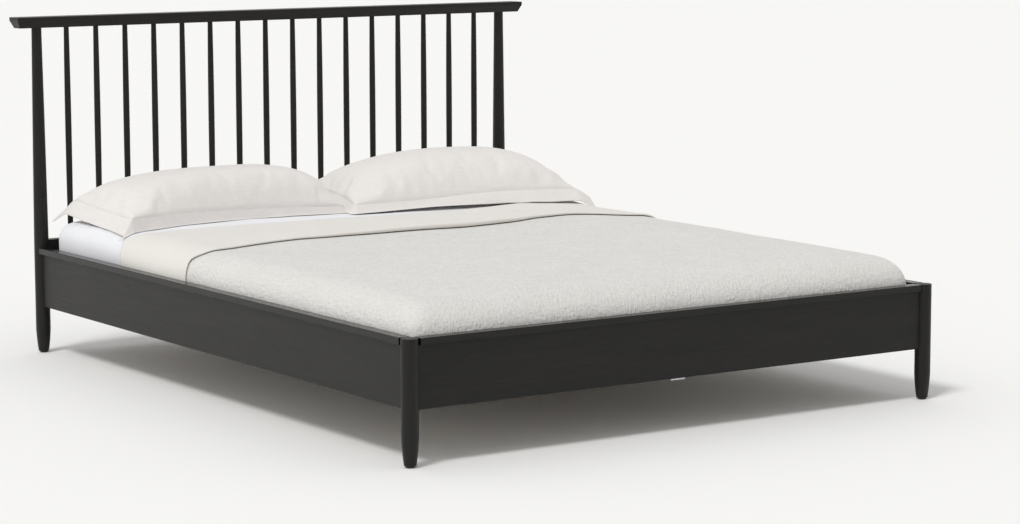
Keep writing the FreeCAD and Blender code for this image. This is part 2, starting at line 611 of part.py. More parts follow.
def make_ledger(side):
    """The batten inside a side panel that the slat ends lie on, cut short of the corner braces."""
    label = f"slat_ledger_{side_name(side)}"
    body = new_body(label)
    end_gap = "(Sizes.brace_corner + Sizes.brace_flange + Sizes.ledger_brace_gap)"
    place(body, x=f"{side} * {INNER_X}", y=f"{INNER_HEAD_Y} - {end_gap}", z=f"{LEDGER_TOP} - Sizes.ledger_size")
    faces = sorted(("0", f"-{side} * Sizes.ledger_size"), key=evaluate)
    low, high = (faces[0], "0"), (faces[1], "Sizes.ledger_size")
    pad(body, rectangle(body, f"{label}_section", "XZ_Plane", low, high), f"{INNER_LENGTH} - 2 * {end_gap}")
    parts[label] = body


def make_slat(number):
    """One slat, from side to side, with its upper long edges bevelled."""
    label = f"slat_{number:02d}"
    body = new_body(label)
    run = f"({INNER_LENGTH} - 2 * Sizes.slat_margin - Sizes.slat_width)"
    y = f"{INNER_FOOT_Y} + Sizes.slat_margin + Sizes.slat_width / 2 + {run} * {number - 1} / {SLATS - 1}"
    half_length = f"({INNER_X} - Sizes.slat_end_gap)"
    place(body, x=f"-{half_length}", y=y, z=LEDGER_TOP)
    low, high = ("-Sizes.slat_width / 2", "0"), ("Sizes.slat_width / 2", "Sizes.slat_thickness")
    pad(body, rectangle(body, f"{label}_section", "YZ_Plane", low, high), f"2 * {half_length}")
    top = evaluate("Sizes.slat_thickness")
    bevel_edges(body, "Sizes.slat_bevel", lambda box: near(box.ZMin, top) and box.XLength > 100)
    parts[label] = body


def make_slat_straps():
    """Two lengths of webbing under the slats that hold their spacing."""
    straps = []
    for side in (LEFT, RIGHT):
        strap = doc.addObject("Part::Box", "strap")
        strap.setExpression("Length", "Sizes.strap_width")
        strap.setExpression("Width", f"{INNER_LENGTH} - 2 * Sizes.slat_margin")
        strap.setExpression("Height", "Sizes.strap_thickness")
        x = f"{side} * Sizes.strap_offset - Sizes.strap_width / 2"
        place(strap, x=x, y=f"{INNER_FOOT_Y} + Sizes.slat_margin", z=f"{LEDGER_TOP} - Sizes.strap_thickness")
        straps.append(strap)
    parts["slat_straps"] = group("slat_straps", straps)


CENTRE_LEG_STATIONS = (f"{INNER_LENGTH} / 3", f"{INNER_LENGTH} * 2 / 3")
BEAM_END_GAP = "(Sizes.hanger_thickness + Sizes.hanger_play)"
BEAM_BOTTOM = f"({LEDGER_TOP} - Sizes.beam_depth)"


def make_centre_beam():
    """The beam under the middle of the slats, mortised for its two legs."""
    body = new_body("centre_beam")
    place(body, y=INNER_FOOT_Y, z=BEAM_BOTTOM)
    half_width = "Sizes.beam_width / 2"
    low, high = (f"-{half_width}", BEAM_END_GAP), (half_width, f"{INNER_LENGTH} - {BEAM_END_GAP}")
    pad(body, rectangle(body, "beam_plan", "XY_Plane", low, high), "Sizes.beam_depth")
    hole = "Sizes.centre_leg_tenon_diameter + 2 * Sizes.tenon_play"
    for number, station in enumerate(CENTRE_LEG_STATIONS, start=1):
        socket = disc(body, f"beam_hole_{number}", "XY_Plane", hole, y=station)
        pocket(body, socket, "Sizes.centre_leg_tenon_length + Sizes.tenon_relief", reverse=True)
    parts["centre_beam"] = body


def make_beam_hangers():
    """A pressed steel hanger at each end of the beam: a back plate with a floor and two cheeks."""
    hangers = []
    inner = "(Sizes.beam_width / 2 + Sizes.hanger_play)"
    outer = f"({inner} + Sizes.hanger_thickness)"
    floor_drop = "(Sizes.hanger_thickness + Sizes.hanger_play)"
    for name, y, turn in (("foot", INNER_FOOT_Y, 0), ("head", INNER_HEAD_Y, 180)):
        body = new_body(f"beam_hanger_{name}")
        place(body, y=y, z=f"{BEAM_BOTTOM} - {floor_drop}", turn=turn)
        low, high = (f"-{outer}", "0"), (outer, f"{floor_drop} + Sizes.hanger_height")
        plate = rectangle(body, f"hanger_{name}_plate", "XZ_Plane", low, high)
        pad(body, plate, "Sizes.hanger_thickness", reverse=True)
        trough = [
            (f"-{outer}", "0"),
            (outer, "0"),
            high,
            (inner, high[1]),
            (inner, "Sizes.hanger_thickness"),
            (f"-{inner}", "Sizes.hanger_thickness"),
            (f"-{inner}", high[1]),
            (f"-{outer}", high[1]),
        ]
        section = outline(body, f"hanger_{name}_trough", "XZ_Plane", trough)
        pad(body, section, "Sizes.hanger_reach", reverse=True)
        hangers.append(body)
    parts["beam_hangers"] = group("beam_hangers", hangers)


def make_centre_leg(number):
    """A square leg under the beam, with a round tenon above and a bore for its levelling foot below."""
    label = f"centre_leg_{number}"
    body = new_body(label)
    bottom = "(Sizes.leveller_base_thickness + Sizes.leveller_gap)"
    place(body, y=f"{INNER_FOOT_Y} + {CENTRE_LEG_STATIONS[number - 1]}", z=bottom)
    height = f"({BEAM_BOTTOM} - {bottom})"
    half = "Sizes.centre_leg_width / 2"
    plan = rectangle(body, f"{label}_plan", "XY_Plane", (f"-{half}", f"-{half}"), (half, half))
    pad(body, plan, height)
    tenon = disc(body, f"{label}_tenon", "XY_Plane", "Sizes.centre_leg_tenon_diameter", lift=height)
    pad(body, tenon, "Sizes.centre_leg_tenon_length")
    width = "Sizes.leveller_stem_diameter + 2 * Sizes.leveller_bore_play"
    bore = disc(body, f"{label}_bore", "XY_Plane", width)
    depth = "Sizes.leveller_stem_length - Sizes.leveller_gap + Sizes.tenon_relief"
    pocket(body, bore, depth, reverse=True)
    parts[label] = body


def make_levelling_foot(number):
    """A levelling foot: a six-sided base on the floor and a stem that screws into the centre leg."""
    label = f"levelling_foot_{number}"
    body = new_body(label)
    place(body, y=f"{INNER_FOOT_Y} + {CENTRE_LEG_STATIONS[number - 1]}")
    thickness = "Sizes.leveller_base_thickness"
    pad(body, polygon(body, f"{label}_base", 6, "Sizes.leveller_base_diameter"), thickness)
    stem = disc(body, f"{label}_stem", "XY_Plane", "Sizes.leveller_stem_diameter", lift=thickness)
    pad(body, stem, "Sizes.leveller_stem_length")
    parts[label] = body


# ---------------------------------------------------------------- corner fixings

# Each corner of the frame: its name, its side, and whether it is at the head or at the foot.
CORNERS = (
    ("foot_left", LEFT, FOOT_Y, INNER_FOOT_Y, 1),
    ("foot_right", RIGHT, FOOT_Y, INNER_FOOT_Y, 1),
    ("head_left", LEFT, HEAD_Y, INNER_HEAD_Y, -1),
    ("head_right", RIGHT, HEAD_Y, INNER_HEAD_Y, -1),
)


def corner_turn(side, inward):
    """The quarter turn that points a corner's own +X and +Y along its two rails."""
    return {(LEFT, 1): 0, (RIGHT, 1): 90, (RIGHT, -1): 180, (LEFT, -1): 270}[(side, inward)]


def make_corner_braces():
    """A pressed steel brace across each corner: a flange on each rail and a web between them."""
    braces = []
    reach = "Sizes.brace_corner"
    tip = "(Sizes.brace_corner + Sizes.brace_flange)"
    skin = "Sizes.brace_thickness"
    bend = f"({reach} + {skin} * (sqrt(2) - 1))"
    plan = [("0", tip), ("0", reach), (reach, "0"), (tip, "0"), (tip, skin), (bend, skin), (skin, bend), (skin, tip)]
    for name, side, _, inner_y, inward in CORNERS:
        body = new_body(f"brace_{name}")
        place(body, x=f"{side} * {INNER_X}", y=inner_y, z=BRACE_BOTTOM, turn=corner_turn(side, inward))
        pad(body, outline(body, f"brace_{name}_plan", "XY_Plane", plan), "Sizes.brace_height")
        hole = disc(
            body, f"brace_{name}_hole", "YZ_Plane", "Sizes.bolt_diameter + 2 * Sizes.bolt_play",
            y="Sizes.brace_height / 2", lift=f"{reach} / sqrt(2) - 1", swing=45,
        )
        pocket(body, hole, f"{skin} + 2", reverse=True)
        braces.append(body)
    parts["corner_braces"] = group("corner_braces", braces)


def along_diagonal(item, side, post_y, inward, distance):
    """Sets an upright primitive down on the level line from a post's axis towards the bed's middle."""
    direction = FreeCAD.Vector(-side, inward, 0)
    item.Placement = FreeCAD.Placement(FreeCAD.Vector(), FreeCAD.Rotation(FreeCAD.Vector(0, 0, 1), direction))
    item.setExpression("Placement.Base.x", f"{side} * ({LEG_X} - {distance} / sqrt(2))")
    item.setExpression("Placement.Base.y", f"{post_y} + {inward} * {distance} / sqrt(2)")
    item.setExpression("Placement.Base.z", BOLT_Z)


def make_hanger_bolts():
    """The bolt from each leg through its brace."""
    bolts = []
    for _, side, post_y, _, inward in CORNERS:
        bolt = doc.addObject("Part::Cylinder", "bolt")
        bolt.setExpression("Radius", "Sizes.bolt_diameter / 2")
        bolt.setExpression("Height", "Sizes.bolt_length")
        along_diagonal(bolt, side, post_y, inward, BOLT_START)
        bolts.append(bolt)
    parts["hanger_bolts"] = group("hanger_bolts", bolts)


def make_brace_nuts():
    """The hexagon nut that draws each leg up to its rails."""
    nuts = []
    for _, side, post_y, _, inward in CORNERS:
        blank = doc.addObject("Part::Prism", "nut_blank")
        blank.Polygon = 6
        blank.setExpression("Circumradius", "Sizes.nut_width / sqrt(3)")
        blank.setExpression("Height", "Sizes.nut_thickness")
        along_diagonal(blank, side, post_y, inward, NUT_FROM_AXIS)
        bore = doc.addObject("Part::Cylinder", "nut_bore")
        bore.setExpression("Radius", "Sizes.bolt_diameter / 2 + Sizes.bolt_play / 5")
        bore.setExpression("Height", "Sizes.nut_thickness + 2")
        along_diagonal(bore, side, post_y, inward, f"({NUT_FROM_AXIS} - 1)")
        nut = doc.addObject("Part::Cut", "nut")
        nut.Base = blank
        nut.Tool = bore
        nuts.append(nut)
    parts["brace_nuts"] = group("brace_nuts", nuts)


# ---------------------------------------------------------------- mattress and bedding

def make_slope(name, lower, upper):
    """One tier of a soft form, between two level rectangles given as half length, half width and height."""
    tier = doc.addObject("Part::Wedge", name)
    for end, level in (("", lower), ("2", upper)):
        for axis, half in zip("XZ", level):
            tier.setExpression(f"{axis}{end}min", f"-{half}")
            tier.setExpression(f"{axis}{end}max", half)
    tier.setExpression("Ymin", lower[-1])
    tier.setExpression("Ymax", upper[-1])
    tier.Placement = FreeCAD.Placement(FreeCAD.Vector(), FreeCAD.Rotation(FreeCAD.Vector(1, 0, 0), 90))
    return tier


def join(name, shapes):
    """One shape from several that meet."""
    whole = doc.addObject("Part::MultiFuse", name)
    whole.Shapes = shapes
    whole.Refine = True
    return whole


def combine(kind, name, base, tool):
    """A shape with another taken out of it, or what the two have in common."""
    result = doc.addObject(f"Part::{kind}", name)
    result.Base = base
    result.Tool = tool
    result.Refine = True
    return result


def bedding_form(name, spread, bottom, head_y, keeps_head):
    """The mattress's form, grown by a spread: sloped up to its crown and rounded in plan at its corners.

    head_y is where the form ends towards the head: rounded there too if it keeps its head, else cut off square.
    """
    levels = [("0", bottom)] + [(inset, f"({MATTRESS_TOP} + {spread} - {drop})") for inset, drop in MATTRESS_TIERS]
    rectangles = []
    for inset, height in levels:
        sides = [f"({size} / 2 + {spread} - {inset})" for size in ("Sizes.mattress_width", "Sizes.mattress_length")]
        rectangles.append((*sides, height))
    tiers = []
    for number, (lower, upper) in enumerate(zip(rectangles, rectangles[1:]), start=1):
        tier = make_slope(f"{name}_tier_{number}", lower, upper)
        tier.setExpression("Placement.Base.y", MATTRESS_MIDDLE_Y)
        tiers.append(tier)
    column = new_body(f"{name}_column")
    half_width = f"(Sizes.mattress_width / 2 + {spread})"
    foot_y = f"({MATTRESS_FOOT_Y} - {spread})"
    far_y = f"({head_y} + {spread})" if keeps_head else head_y
    plan = rectangle(column, f"{name}_plan", "XY_Plane", (f"-{half_width}", foot_y), (half_width, far_y), lift=bottom)
    pad(column, plan, f"{MATTRESS_TOP} + {spread} - ({bottom})")
    ends = [evaluate(foot_y)] + [evaluate(far_y)] * keeps_head
    upright = lambda box: box.ZLength > 1 and box.YLength < 1 and any(near(box.YMin, end) for end in ends)
    round_edges(column, f"Sizes.mattress_corner + {spread}", upright)
    return combine("Common", name, join(f"{name}_tiers", tiers), column)


def make_mattress():
    mattress = bedding_form("mattress", "0", "Sizes.slat_top", MATTRESS_HEAD_Y, True)
    mattress.Label = "mattress"
    parts["mattress"] = mattress


def make_cover(label, spread, thickness, rise, head_y, keeps_head):
    """A fitted cover: the mattress's form grown outwards, with a slightly smaller form taken out of it."""
    bottom = f"(Sizes.slat_top + {rise})"
    outer = bedding_form(f"{label}_outside", f"({spread} + {thickness})", bottom, head_y, keeps_head)
    inner_head = head_y if keeps_head else f"({head_y} + 1)"
    inner = bedding_form(f"{label}_inside", spread, f"({bottom} - 1)", inner_head, keeps_head)
    cover = combine("Cut", label, outer, inner)
    cover.Label = label
    parts[label] = cover


def make_fitted_sheet():
    """The fitted sheet, over the top and all four sides of the mattress."""
    make_cover("fitted_sheet", "Sizes.layer_gap", "Sizes.sheet_thickness", "Sizes.sheet_rise", MATTRESS_HEAD_Y, True)


def make_coverlet():
    """The coverlet, tucked in along both sides and the foot, up to the turned-down band."""
    near_edge = f"({HEAD_Y} - Sizes.turn_down_near)"
    spread = f"({SLEEVE} + Sizes.layer_gap)"
    make_cover("coverlet", spread, "Sizes.coverlet_thickness", "Sizes.coverlet_rise", near_edge, False)


def half_section(spread, bottom):
    """The right half of the mattress's section, grown by a spread, from a bottom up to its crown."""
    half_width = f"(Sizes.mattress_width / 2 + {spread})"
    line = [(half_width, bottom)]
    for inset, drop in MATTRESS_TIERS:
        line.append((f"({half_width} - {inset})", f"({MATTRESS_TOP} + {spread} - {drop})"))
    return line


def make_turn_down():
    """The turned-down band across the bed: an arch over the mattress, tucked in at both sides."""
    label = "turn_down"
    body = new_body(label)
    near_edge = f"({HEAD_Y} - Sizes.turn_down_near + Sizes.layer_gap)"
    far_edge = f"({HEAD_Y} - Sizes.turn_down_far)"
    place(body, y=far_edge)
    spread = f"({SLEEVE} + Sizes.layer_gap)"
    bottom = "(Sizes.slat_top + Sizes.coverlet_rise)"
    inner = half_section(spread, bottom)
    outer = half_section(f"({spread} + Sizes.turn_down_thickness)", bottom)
    inner_left, outer_left = ([(f"-{x}", z) for x, z in line] for line in (inner, outer))
    arch = inner_left + inner[::-1] + outer + outer_left[::-1]
    pad(body, outline(body, "turn_down_section", "XZ_Plane", arch), f"{far_edge} - {near_edge}")
    parts[label] = body


def make_pillow(side):
    """A pillow in a flanged case: sloped from its resting face to its crown, more so at its corners."""
    label = f"pillow_{side_name(side)}"

    def level(inset, height):
        sides = [f"({size} / 2 - Sizes.pillow_flange - {inset})" for size in ("Sizes.pillow_length", "Sizes.pillow_width")]
        return (*sides, height)

    levels = [
        level("Sizes.pillow_base_inset", "0"),
        level("0", "Sizes.pillow_flange_rise"),
        level("Sizes.pillow_shoulder_inset", "Sizes.pillow_shoulder_rise"),
        level("Sizes.pillow_crown_inset", "Sizes.pillow_height"),
    ]
    tiers = []
    for number, (lower, upper) in enumerate(zip(levels, levels[1:]), start=1):
        tiers.append(make_slope(f"{label}_tier_{number}", lower, upper))
    seam_height = "Sizes.pillow_flange_rise"
    seam_corner = "((Sizes.pillow_length + Sizes.pillow_width) / 2 - 2 * Sizes.pillow_flange) / sqrt(2)"
    spread = f"Sizes.pillow_corner_inset * {seam_height} / (Sizes.pillow_height - {seam_height})"
    wide = f"({seam_corner} + {spread})"
    narrow = f"({seam_corner} - Sizes.pillow_corner_inset)"
    corners = make_slope(f"{label}_corners", (wide, wide, "0"), (narrow, narrow, "Sizes.pillow_height"))
    quarter_turn = FreeCAD.Placement(FreeCAD.Vector(), FreeCAD.Rotation(FreeCAD.Vector(0, 0, 1), 45))
    corners.Placement = quarter_turn * corners.Placement
    filling = combine("Common", f"{label}_filling", join(f"{label}_tiers", tiers), corners)
    border = doc.addObject("Part::Box", f"{label}_border")
    border.setExpression("Length", "Sizes.pillow_length")
    border.setExpression("Width", "Sizes.pillow_width")
    border.setExpression("Height", "Sizes.pillow_flange_thickness")
    place(border, x="-Sizes.pillow_length / 2", y="-Sizes.pillow_width / 2", z=seam_height)
    pillow = join(label, [filling, border])
    pillow.Label = label
    x = f"{side} * (Sizes.pillow_gap + Sizes.pillow_length) / 2"
    y = f"{HEAD_Y} - Sizes.{label}_head_gap - Sizes.pillow_width / 2"
    place(pillow, x=x, y=y, z=f"{SHEET_TOP} + Sizes.layer_gap")
    parts[label] = pillow


def build():
    make_crest_rail()
    make_lower_rail()
    for number in range(1, SPINDLES + 1):
        make_spindle(number)
    for side in (LEFT, RIGHT):
        make_head_post(side)
        make_front_leg(side)
        make_side_panel(side)
        make_side_strip(side)
        make_ledger(side)
        make_pillow(side)
    make_leg_glides()
    make_foot_panel()
    make_foot_strip()
    for number in range(1, SLATS + 1):
        make_slat(number)
    make_slat_straps()
    make_centre_beam()
    make_beam_hangers()
    for number in range(1, len(CENTRE_LEG_STATIONS) + 1):
        make_centre_leg(number)
        make_levelling_foot(number)
    make_corner_braces()
    make_hanger_bolts()
    make_brace_nuts()
    make_mattress()
    make_fitted_sheet()
    make_coverlet()
    make_turn_down()


def check_and_export():
    """Writes every sub-part, once the whole document has proved sound."""
    doc.recompute()
    for item in doc.Objects:
        faults = {"Invalid", "Error"} & set(item.State)
        assert not faults, f"{item.Label}: {faults}"
    for label, item in parts.items():
        assert not item.Shape.isNull() and item.Shape.isValid(), f"{label}: bad shape"
        assert item.Shape.Volume > 0, f"{label}: no volume"
    os.makedirs("parts", exist_ok=True)
    for label, item in parts.items():
        item.Shape.exportStep(f"parts/{label}.step")
        print(f"{label:24s} {len(item.Shape.Solids)} solid(s) {item.Shape.Volume / 1000:10.1f} cm3")


build()
check_and_export()
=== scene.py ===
"""Looks of the spindle bed: stained ash, turned pieces, bedding and pillows, with light and camera."""
import math

import bpy
import numpy as np
from mathutils import Matrix, Vector, noise


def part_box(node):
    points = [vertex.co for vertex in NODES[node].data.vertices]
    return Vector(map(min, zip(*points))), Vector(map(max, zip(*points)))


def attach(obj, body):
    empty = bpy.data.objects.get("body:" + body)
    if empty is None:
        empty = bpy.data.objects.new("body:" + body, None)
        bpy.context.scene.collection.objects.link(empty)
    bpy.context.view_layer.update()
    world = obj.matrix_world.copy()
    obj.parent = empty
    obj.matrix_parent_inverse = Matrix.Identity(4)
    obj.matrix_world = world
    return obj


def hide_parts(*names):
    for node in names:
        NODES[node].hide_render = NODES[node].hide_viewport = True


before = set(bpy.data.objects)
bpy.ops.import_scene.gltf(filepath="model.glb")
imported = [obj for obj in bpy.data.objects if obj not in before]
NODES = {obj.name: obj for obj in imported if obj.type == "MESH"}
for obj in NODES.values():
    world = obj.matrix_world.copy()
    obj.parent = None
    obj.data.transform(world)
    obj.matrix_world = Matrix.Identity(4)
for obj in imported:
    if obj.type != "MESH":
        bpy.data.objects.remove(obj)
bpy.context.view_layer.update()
SIDES = (("left", -1), ("right", 1))
SPINDLES = sorted(name for name in NODES if name.startswith("spindle_"))


# ---------------------------------------------------------------- node trees

class Tree:
    """A material's node tree, with short calls to add and join nodes."""

    def __init__(self, name):
        self.material = bpy.data.materials.new(name)
        self.material.use_nodes = True
        self.tree = self.material.node_tree
        self.shader = self.tree.nodes["Principled BSDF"]

    def add(self, kind, values=None, **settings):
        node = self.tree.nodes.new(kind)
        for key, value in settings.items():
            setattr(node, key, value)
        for key, value in (values or {}).items():
            if isinstance(value, bpy.types.NodeSocket):
                self.tree.links.new(value, node.inputs[key])
            else:
                node.inputs[key].default_value = value
        return node

    def link(self, source, target):
        self.tree.links.new(source, target)

    def place(self, scale):
        """Object coordinates, scaled on each axis."""
        where = self.add("ShaderNodeTexCoord").outputs["Object"]
        return self.add("ShaderNodeMapping", {"Vector": where, "Scale": scale}).outputs["Vector"]

    def noise(self, vector, scale, detail=3.0, roughness=0.5, distortion=0.0):
        values = {
            "Vector": vector, "Scale": scale, "Detail": detail,
            "Roughness": roughness, "Distortion": distortion,
        }
        return self.add("ShaderNodeTexNoise", values).outputs["Fac"]

    def spread(self, value, low, high, to_low=0.0, to_high=1.0):
        """A value from low to high, spread over a new range and held inside it."""
        values = {"Value": value, "From Min": low, "From Max": high, "To Min": to_low, "To Max": to_high}
        return self.add("ShaderNodeMapRange", values).outputs["Result"]

    def combine(self, operation, first, second):
        return self.add("ShaderNodeMath", {0: first, 1: second}, operation=operation).outputs[0]

    def blend(self, factor, first, second):
        values = {0: factor, 6: first, 7: second}
        return self.add("ShaderNodeMix", values, data_type="RGBA").outputs[2]

    def bump(self, height, distance, strength=1.0, under=None):
        values = {"Height": height, "Distance": distance, "Strength": strength}
        if under is not None:
            values["Normal"] = under
        return self.add("ShaderNodeBump", values).outputs["Normal"]


def rgb(*channels):
    return (*channels, 1.0)


ASH_LIGHT = rgb(0.0165, 0.0156, 0.0144)
ASH_DARK = rgb(0.0098, 0.0094, 0.0088)
ASH_PORE = rgb(0.006, 0.006, 0.006)


def black_ash(name, along, smoothest=0.34, roughest=0.46):
    """Black-stained ash, its grain running along one axis."""
    tree = Tree(name)
    fine = [1.0, 1.0, 1.0]
    fine[along] = 0.035
    broad = [1.0, 1.0, 1.0]
    broad[along] = 0.12
    streaks = tree.noise(tree.place(fine), 210.0, 4.0, 0.65)
    pores = tree.noise(tree.place(fine), 620.0, 2.0, 0.5)
    mottle = tree.noise(tree.place(broad), 26.0, 4.0, 0.6, 0.6)
    open_grain = tree.spread(pores, 0.56, 0.70)
    streaky, mottled = tree.combine("MULTIPLY", streaks, 0.55), tree.combine("MULTIPLY", mottle, 0.45)
    tone = tree.combine("ADD", streaky, mottled)
    shade = tree.blend(tree.spread(tone, 0.36, 0.64), ASH_DARK, ASH_LIGHT)
    colour = tree.blend(tree.combine("MULTIPLY", open_grain, 0.6), shade, ASH_PORE)
    tree.link(colour, tree.shader.inputs["Base Color"])
    tree.link(tree.spread(streaks, 0.3, 0.7, smoothest, roughest), tree.shader.inputs["Roughness"])
    tree.shader.inputs["Specular IOR Level"].default_value = 0.24
    relief = tree.combine("SUBTRACT", tree.combine("MULTIPLY", streaks, 0.35), open_grain)
    tree.link(tree.bump(relief, 0.0004, 0.5), tree.shader.inputs["Normal"])
    return tree.material


def pine(name, along):
    """Plain pine for the hidden base, its grain running along one axis."""
    tree = Tree(name)
    scale = [1.0, 1.0, 1.0]
    scale[along] = 0.04
    grain = tree.noise(tree.place(scale), 95.0, 4.0, 0.6, 0.4)
    broad = tree.noise(tree.place(scale), 18.0, 2.0, 0.5, 0.8)
    tone = tree.combine("ADD", tree.combine("MULTIPLY", grain, 0.6), tree.combine("MULTIPLY", broad, 0.4))
    colour = tree.blend(tree.spread(tone, 0.35, 0.65), rgb(0.46, 0.42, 0.37), rgb(0.36, 0.32, 0.27))
    tree.link(colour, tree.shader.inputs["Base Color"])
    tree.shader.inputs["Roughness"].default_value = 0.62
    tree.link(tree.bump(grain, 0.0004, 0.4), tree.shader.inputs["Normal"])
    return tree.material


def zinc(name):
    """Zinc-plated steel for the fixings."""
    tree = Tree(name)
    spangle = tree.noise(tree.place((1, 1, 1)), 160.0, 3.0, 0.6)
    colour = tree.blend(tree.spread(spangle, 0.35, 0.65), rgb(0.62, 0.63, 0.64), rgb(0.50, 0.51, 0.53))
    tree.link(colour, tree.shader.inputs["Base Color"])
    tree.shader.inputs["Metallic"].default_value = 1.0
    tree.link(tree.spread(spangle, 0.3, 0.7, 0.28, 0.46), tree.shader.inputs["Roughness"])
    tree.link(tree.bump(spangle, 0.0001, 0.4), tree.shader.inputs["Normal"])
    return tree.material


def cloth(name, pale, dark_yarn_and_shade, thread, slub, crinkle=0.0, sheen=0.25, cell=125.0):
    """Woven cloth: thread lines along each axis, uneven yarn, and a crinkled face with painted shade where
    one is asked for.

    thread is how fine the threads are and slub the yarn's share of the tone. crinkle is the relief's depth in
    metres, and cell how fine it is.
    """
    tree = Tree(name)
    across = tree.noise(tree.place((1.0, 0.06, 0.06)), thread, 2.0, 0.6)
    along = tree.noise(tree.place((0.06, 1.0, 0.06)), thread, 2.0, 0.6)
    upright = tree.noise(tree.place((0.06, 0.06, 1.0)), thread, 2.0, 0.6)
    weave = tree.combine("ADD", tree.combine("ADD", across, along), upright)
    patches = tree.noise(tree.place((1, 1, 1)), 7.0, 4.0, 0.6)
    yarn = tree.spread(weave, 1.2, 1.8, 0.0, slub)
    tone = tree.combine("ADD", yarn, tree.spread(patches, 0.3, 0.7, 0.0, 1.0 - slub))
    if crinkle:
        puckers = tree.noise(tree.place((1.0, 0.7, 0.8)), cell, 3.0, 0.55, 0.5)
        ribs = tree.noise(tree.place((1.0, 0.5, 0.12)), cell * 1.6, 1.0, 0.4, 0.2)
        relief = tree.combine("ADD", puckers, tree.combine("MULTIPLY", ribs, 0.5))
        # Painted shade: the colour darkens in the crinkles' hollows and lightens a little on their crests.
        tone = tree.combine("ADD", tone, tree.spread(relief, 0.55, 0.95, -0.16, 0.04))
    tree.link(tree.blend(tree.spread(tone, 0.0, 1.0), dark_yarn_and_shade, pale), tree.shader.inputs["Base Color"])
    tree.shader.inputs["Roughness"].default_value = 0.88
    tree.shader.inputs["Specular IOR Level"].default_value = 0.2
    tree.shader.inputs["Sheen Weight"].default_value = sheen
    tree.shader.inputs["Sheen Roughness"].default_value = 0.5
    normal = tree.bump(weave, 0.0006, 0.45)
    if crinkle:
        normal = tree.bump(relief, crinkle, 1.0, normal)
    tree.link(normal, tree.shader.inputs["Normal"])
    return tree.material


ASH_ACROSS = black_ash("black_ash_across", 0)
ASH_ALONG = black_ash("black_ash_along", 1)
ASH_UPRIGHT = black_ash("black_ash_upright", 2)
STRIP_ACROSS = black_ash("strip_ash_across", 0, 0.14, 0.24)
STRIP_ALONG = black_ash("strip_ash_along", 1, 0.14, 0.24)
PINE_ACROSS = pine("pine_across", 0)
PINE_ALONG = pine("pine_along", 1)
PINE_UPRIGHT = pine("pine_upright", 2)
ZINC = zinc("zinc_plate")
FELT = cloth("felt_pad", rgb(0.10, 0.10, 0.10), rgb(0.06, 0.06, 0.06), 900.0, 0.5)
WEBBING = cloth("webbing", rgb(0.74, 0.72, 0.67), rgb(0.55, 0.53, 0.48), 700.0, 0.8)
# The ticking's darker colour is also painted shade in its crinkles' hollows.
TICKING = cloth(
    "mattress_ticking", rgb(0.86, 0.86, 0.86), rgb(0.74, 0.74, 0.75), 500.0, 0.5,
    crinkle=0.002, cell=26.0,
)
PERCALE = cloth("white_percale", rgb(0.90, 0.905, 0.93), rgb(0.85, 0.855, 0.88), 1500.0, 0.4, sheen=0.1)
# The coverlet's darker colour is also painted shade in its crinkles' hollows.
COVERLET = cloth(
    "coverlet_cloth", rgb(0.825, 0.815, 0.785), rgb(0.72, 0.71, 0.68), 620.0, 0.75,
    crinkle=0.0042, sheen=0.1,
)
TURN_DOWN = cloth("turn_down_cloth", rgb(0.835, 0.81, 0.77), rgb(0.785, 0.76, 0.715), 800.0, 0.6)
LINEN = cloth("pillow_linen", rgb(0.865, 0.835, 0.805), rgb(0.80, 0.772, 0.745), 520.0, 0.7)


# ---------------------------------------------------------------- meshes

def mesh_piece(name, points, faces, material, body):
    """A smooth-shaded piece from points and faces, on its body and with its material's slot."""
    data = bpy.data.meshes.new(name)
    data.from_pydata([tuple(map(float, p)) for p in points], [], [tuple(map(int, f)) for f in faces])
    data.validate()
    piece = bpy.data.objects.new(name, data)
    bpy.context.scene.collection.objects.link(piece)
    data.materials.append(material)
    data.shade_smooth()
    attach(piece, body)
    return piece


def add_modifier(piece, kind, **settings):
    modifier = piece.modifiers.new(kind.title(), kind)
    for key, value in settings.items():
        setattr(modifier, key, value)


def give_thickness(piece, thickness):
    """Smooths a piece of cloth and thickens it inwards from its outer face."""
    add_modifier(piece, "SUBSURF", levels=1, render_levels=1)
    add_modifier(piece, "SOLIDIFY", thickness=thickness, offset=-1)


def turned(name, profile, x, y, node, sides):
    """A turned piece: a profile of (height, radius) pairs swept round an upright axis."""
    angles = np.linspace(0, 2 * math.pi, sides, endpoint=False)
    points = [(x, y, profile[0][0])]
    for height, radius in profile:
        points += [(x + radius * math.cos(a), y + radius * math.sin(a), height) for a in angles]
    points.append((x, y, profile[-1][0]))
    faces = [(0, 1 + (k + 1) % sides, 1 + k) for k in range(sides)]
    for row in range(len(profile) - 1):
        low, high = 1 + row * sides, 1 + (row + 1) * sides
        for k in range(sides):
            following = (k + 1) % sides
            faces.append((low + k, low + following, high + following, high + k))
    last = 1 + (len(profile) - 1) * sides
    faces += [(len(points) - 1, last + k, last + (k + 1) % sides) for k in range(sides)]
    piece = mesh_piece(name, points, faces, ASH_UPRIGHT, "bed_frame")
    piece.data.set_sharp_from_angle(angle=math.radians(38))
    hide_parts(node)


def softened(corner_height, corner_radius, size, rising):
    """A quarter round at the end of a turned profile. rising is 1 at its bottom end and -1 at its top end."""
    pairs = []
    for a in np.linspace(0, math.pi / 2, 7):
        height = corner_height + size * (1 - math.cos(a)) * rising
        pairs.append((height, corner_radius - size * (1 - math.sin(a))))
    return pairs if rising > 0 else pairs[::-1]


# ---------------------------------------------------------------- posts, legs and spindles

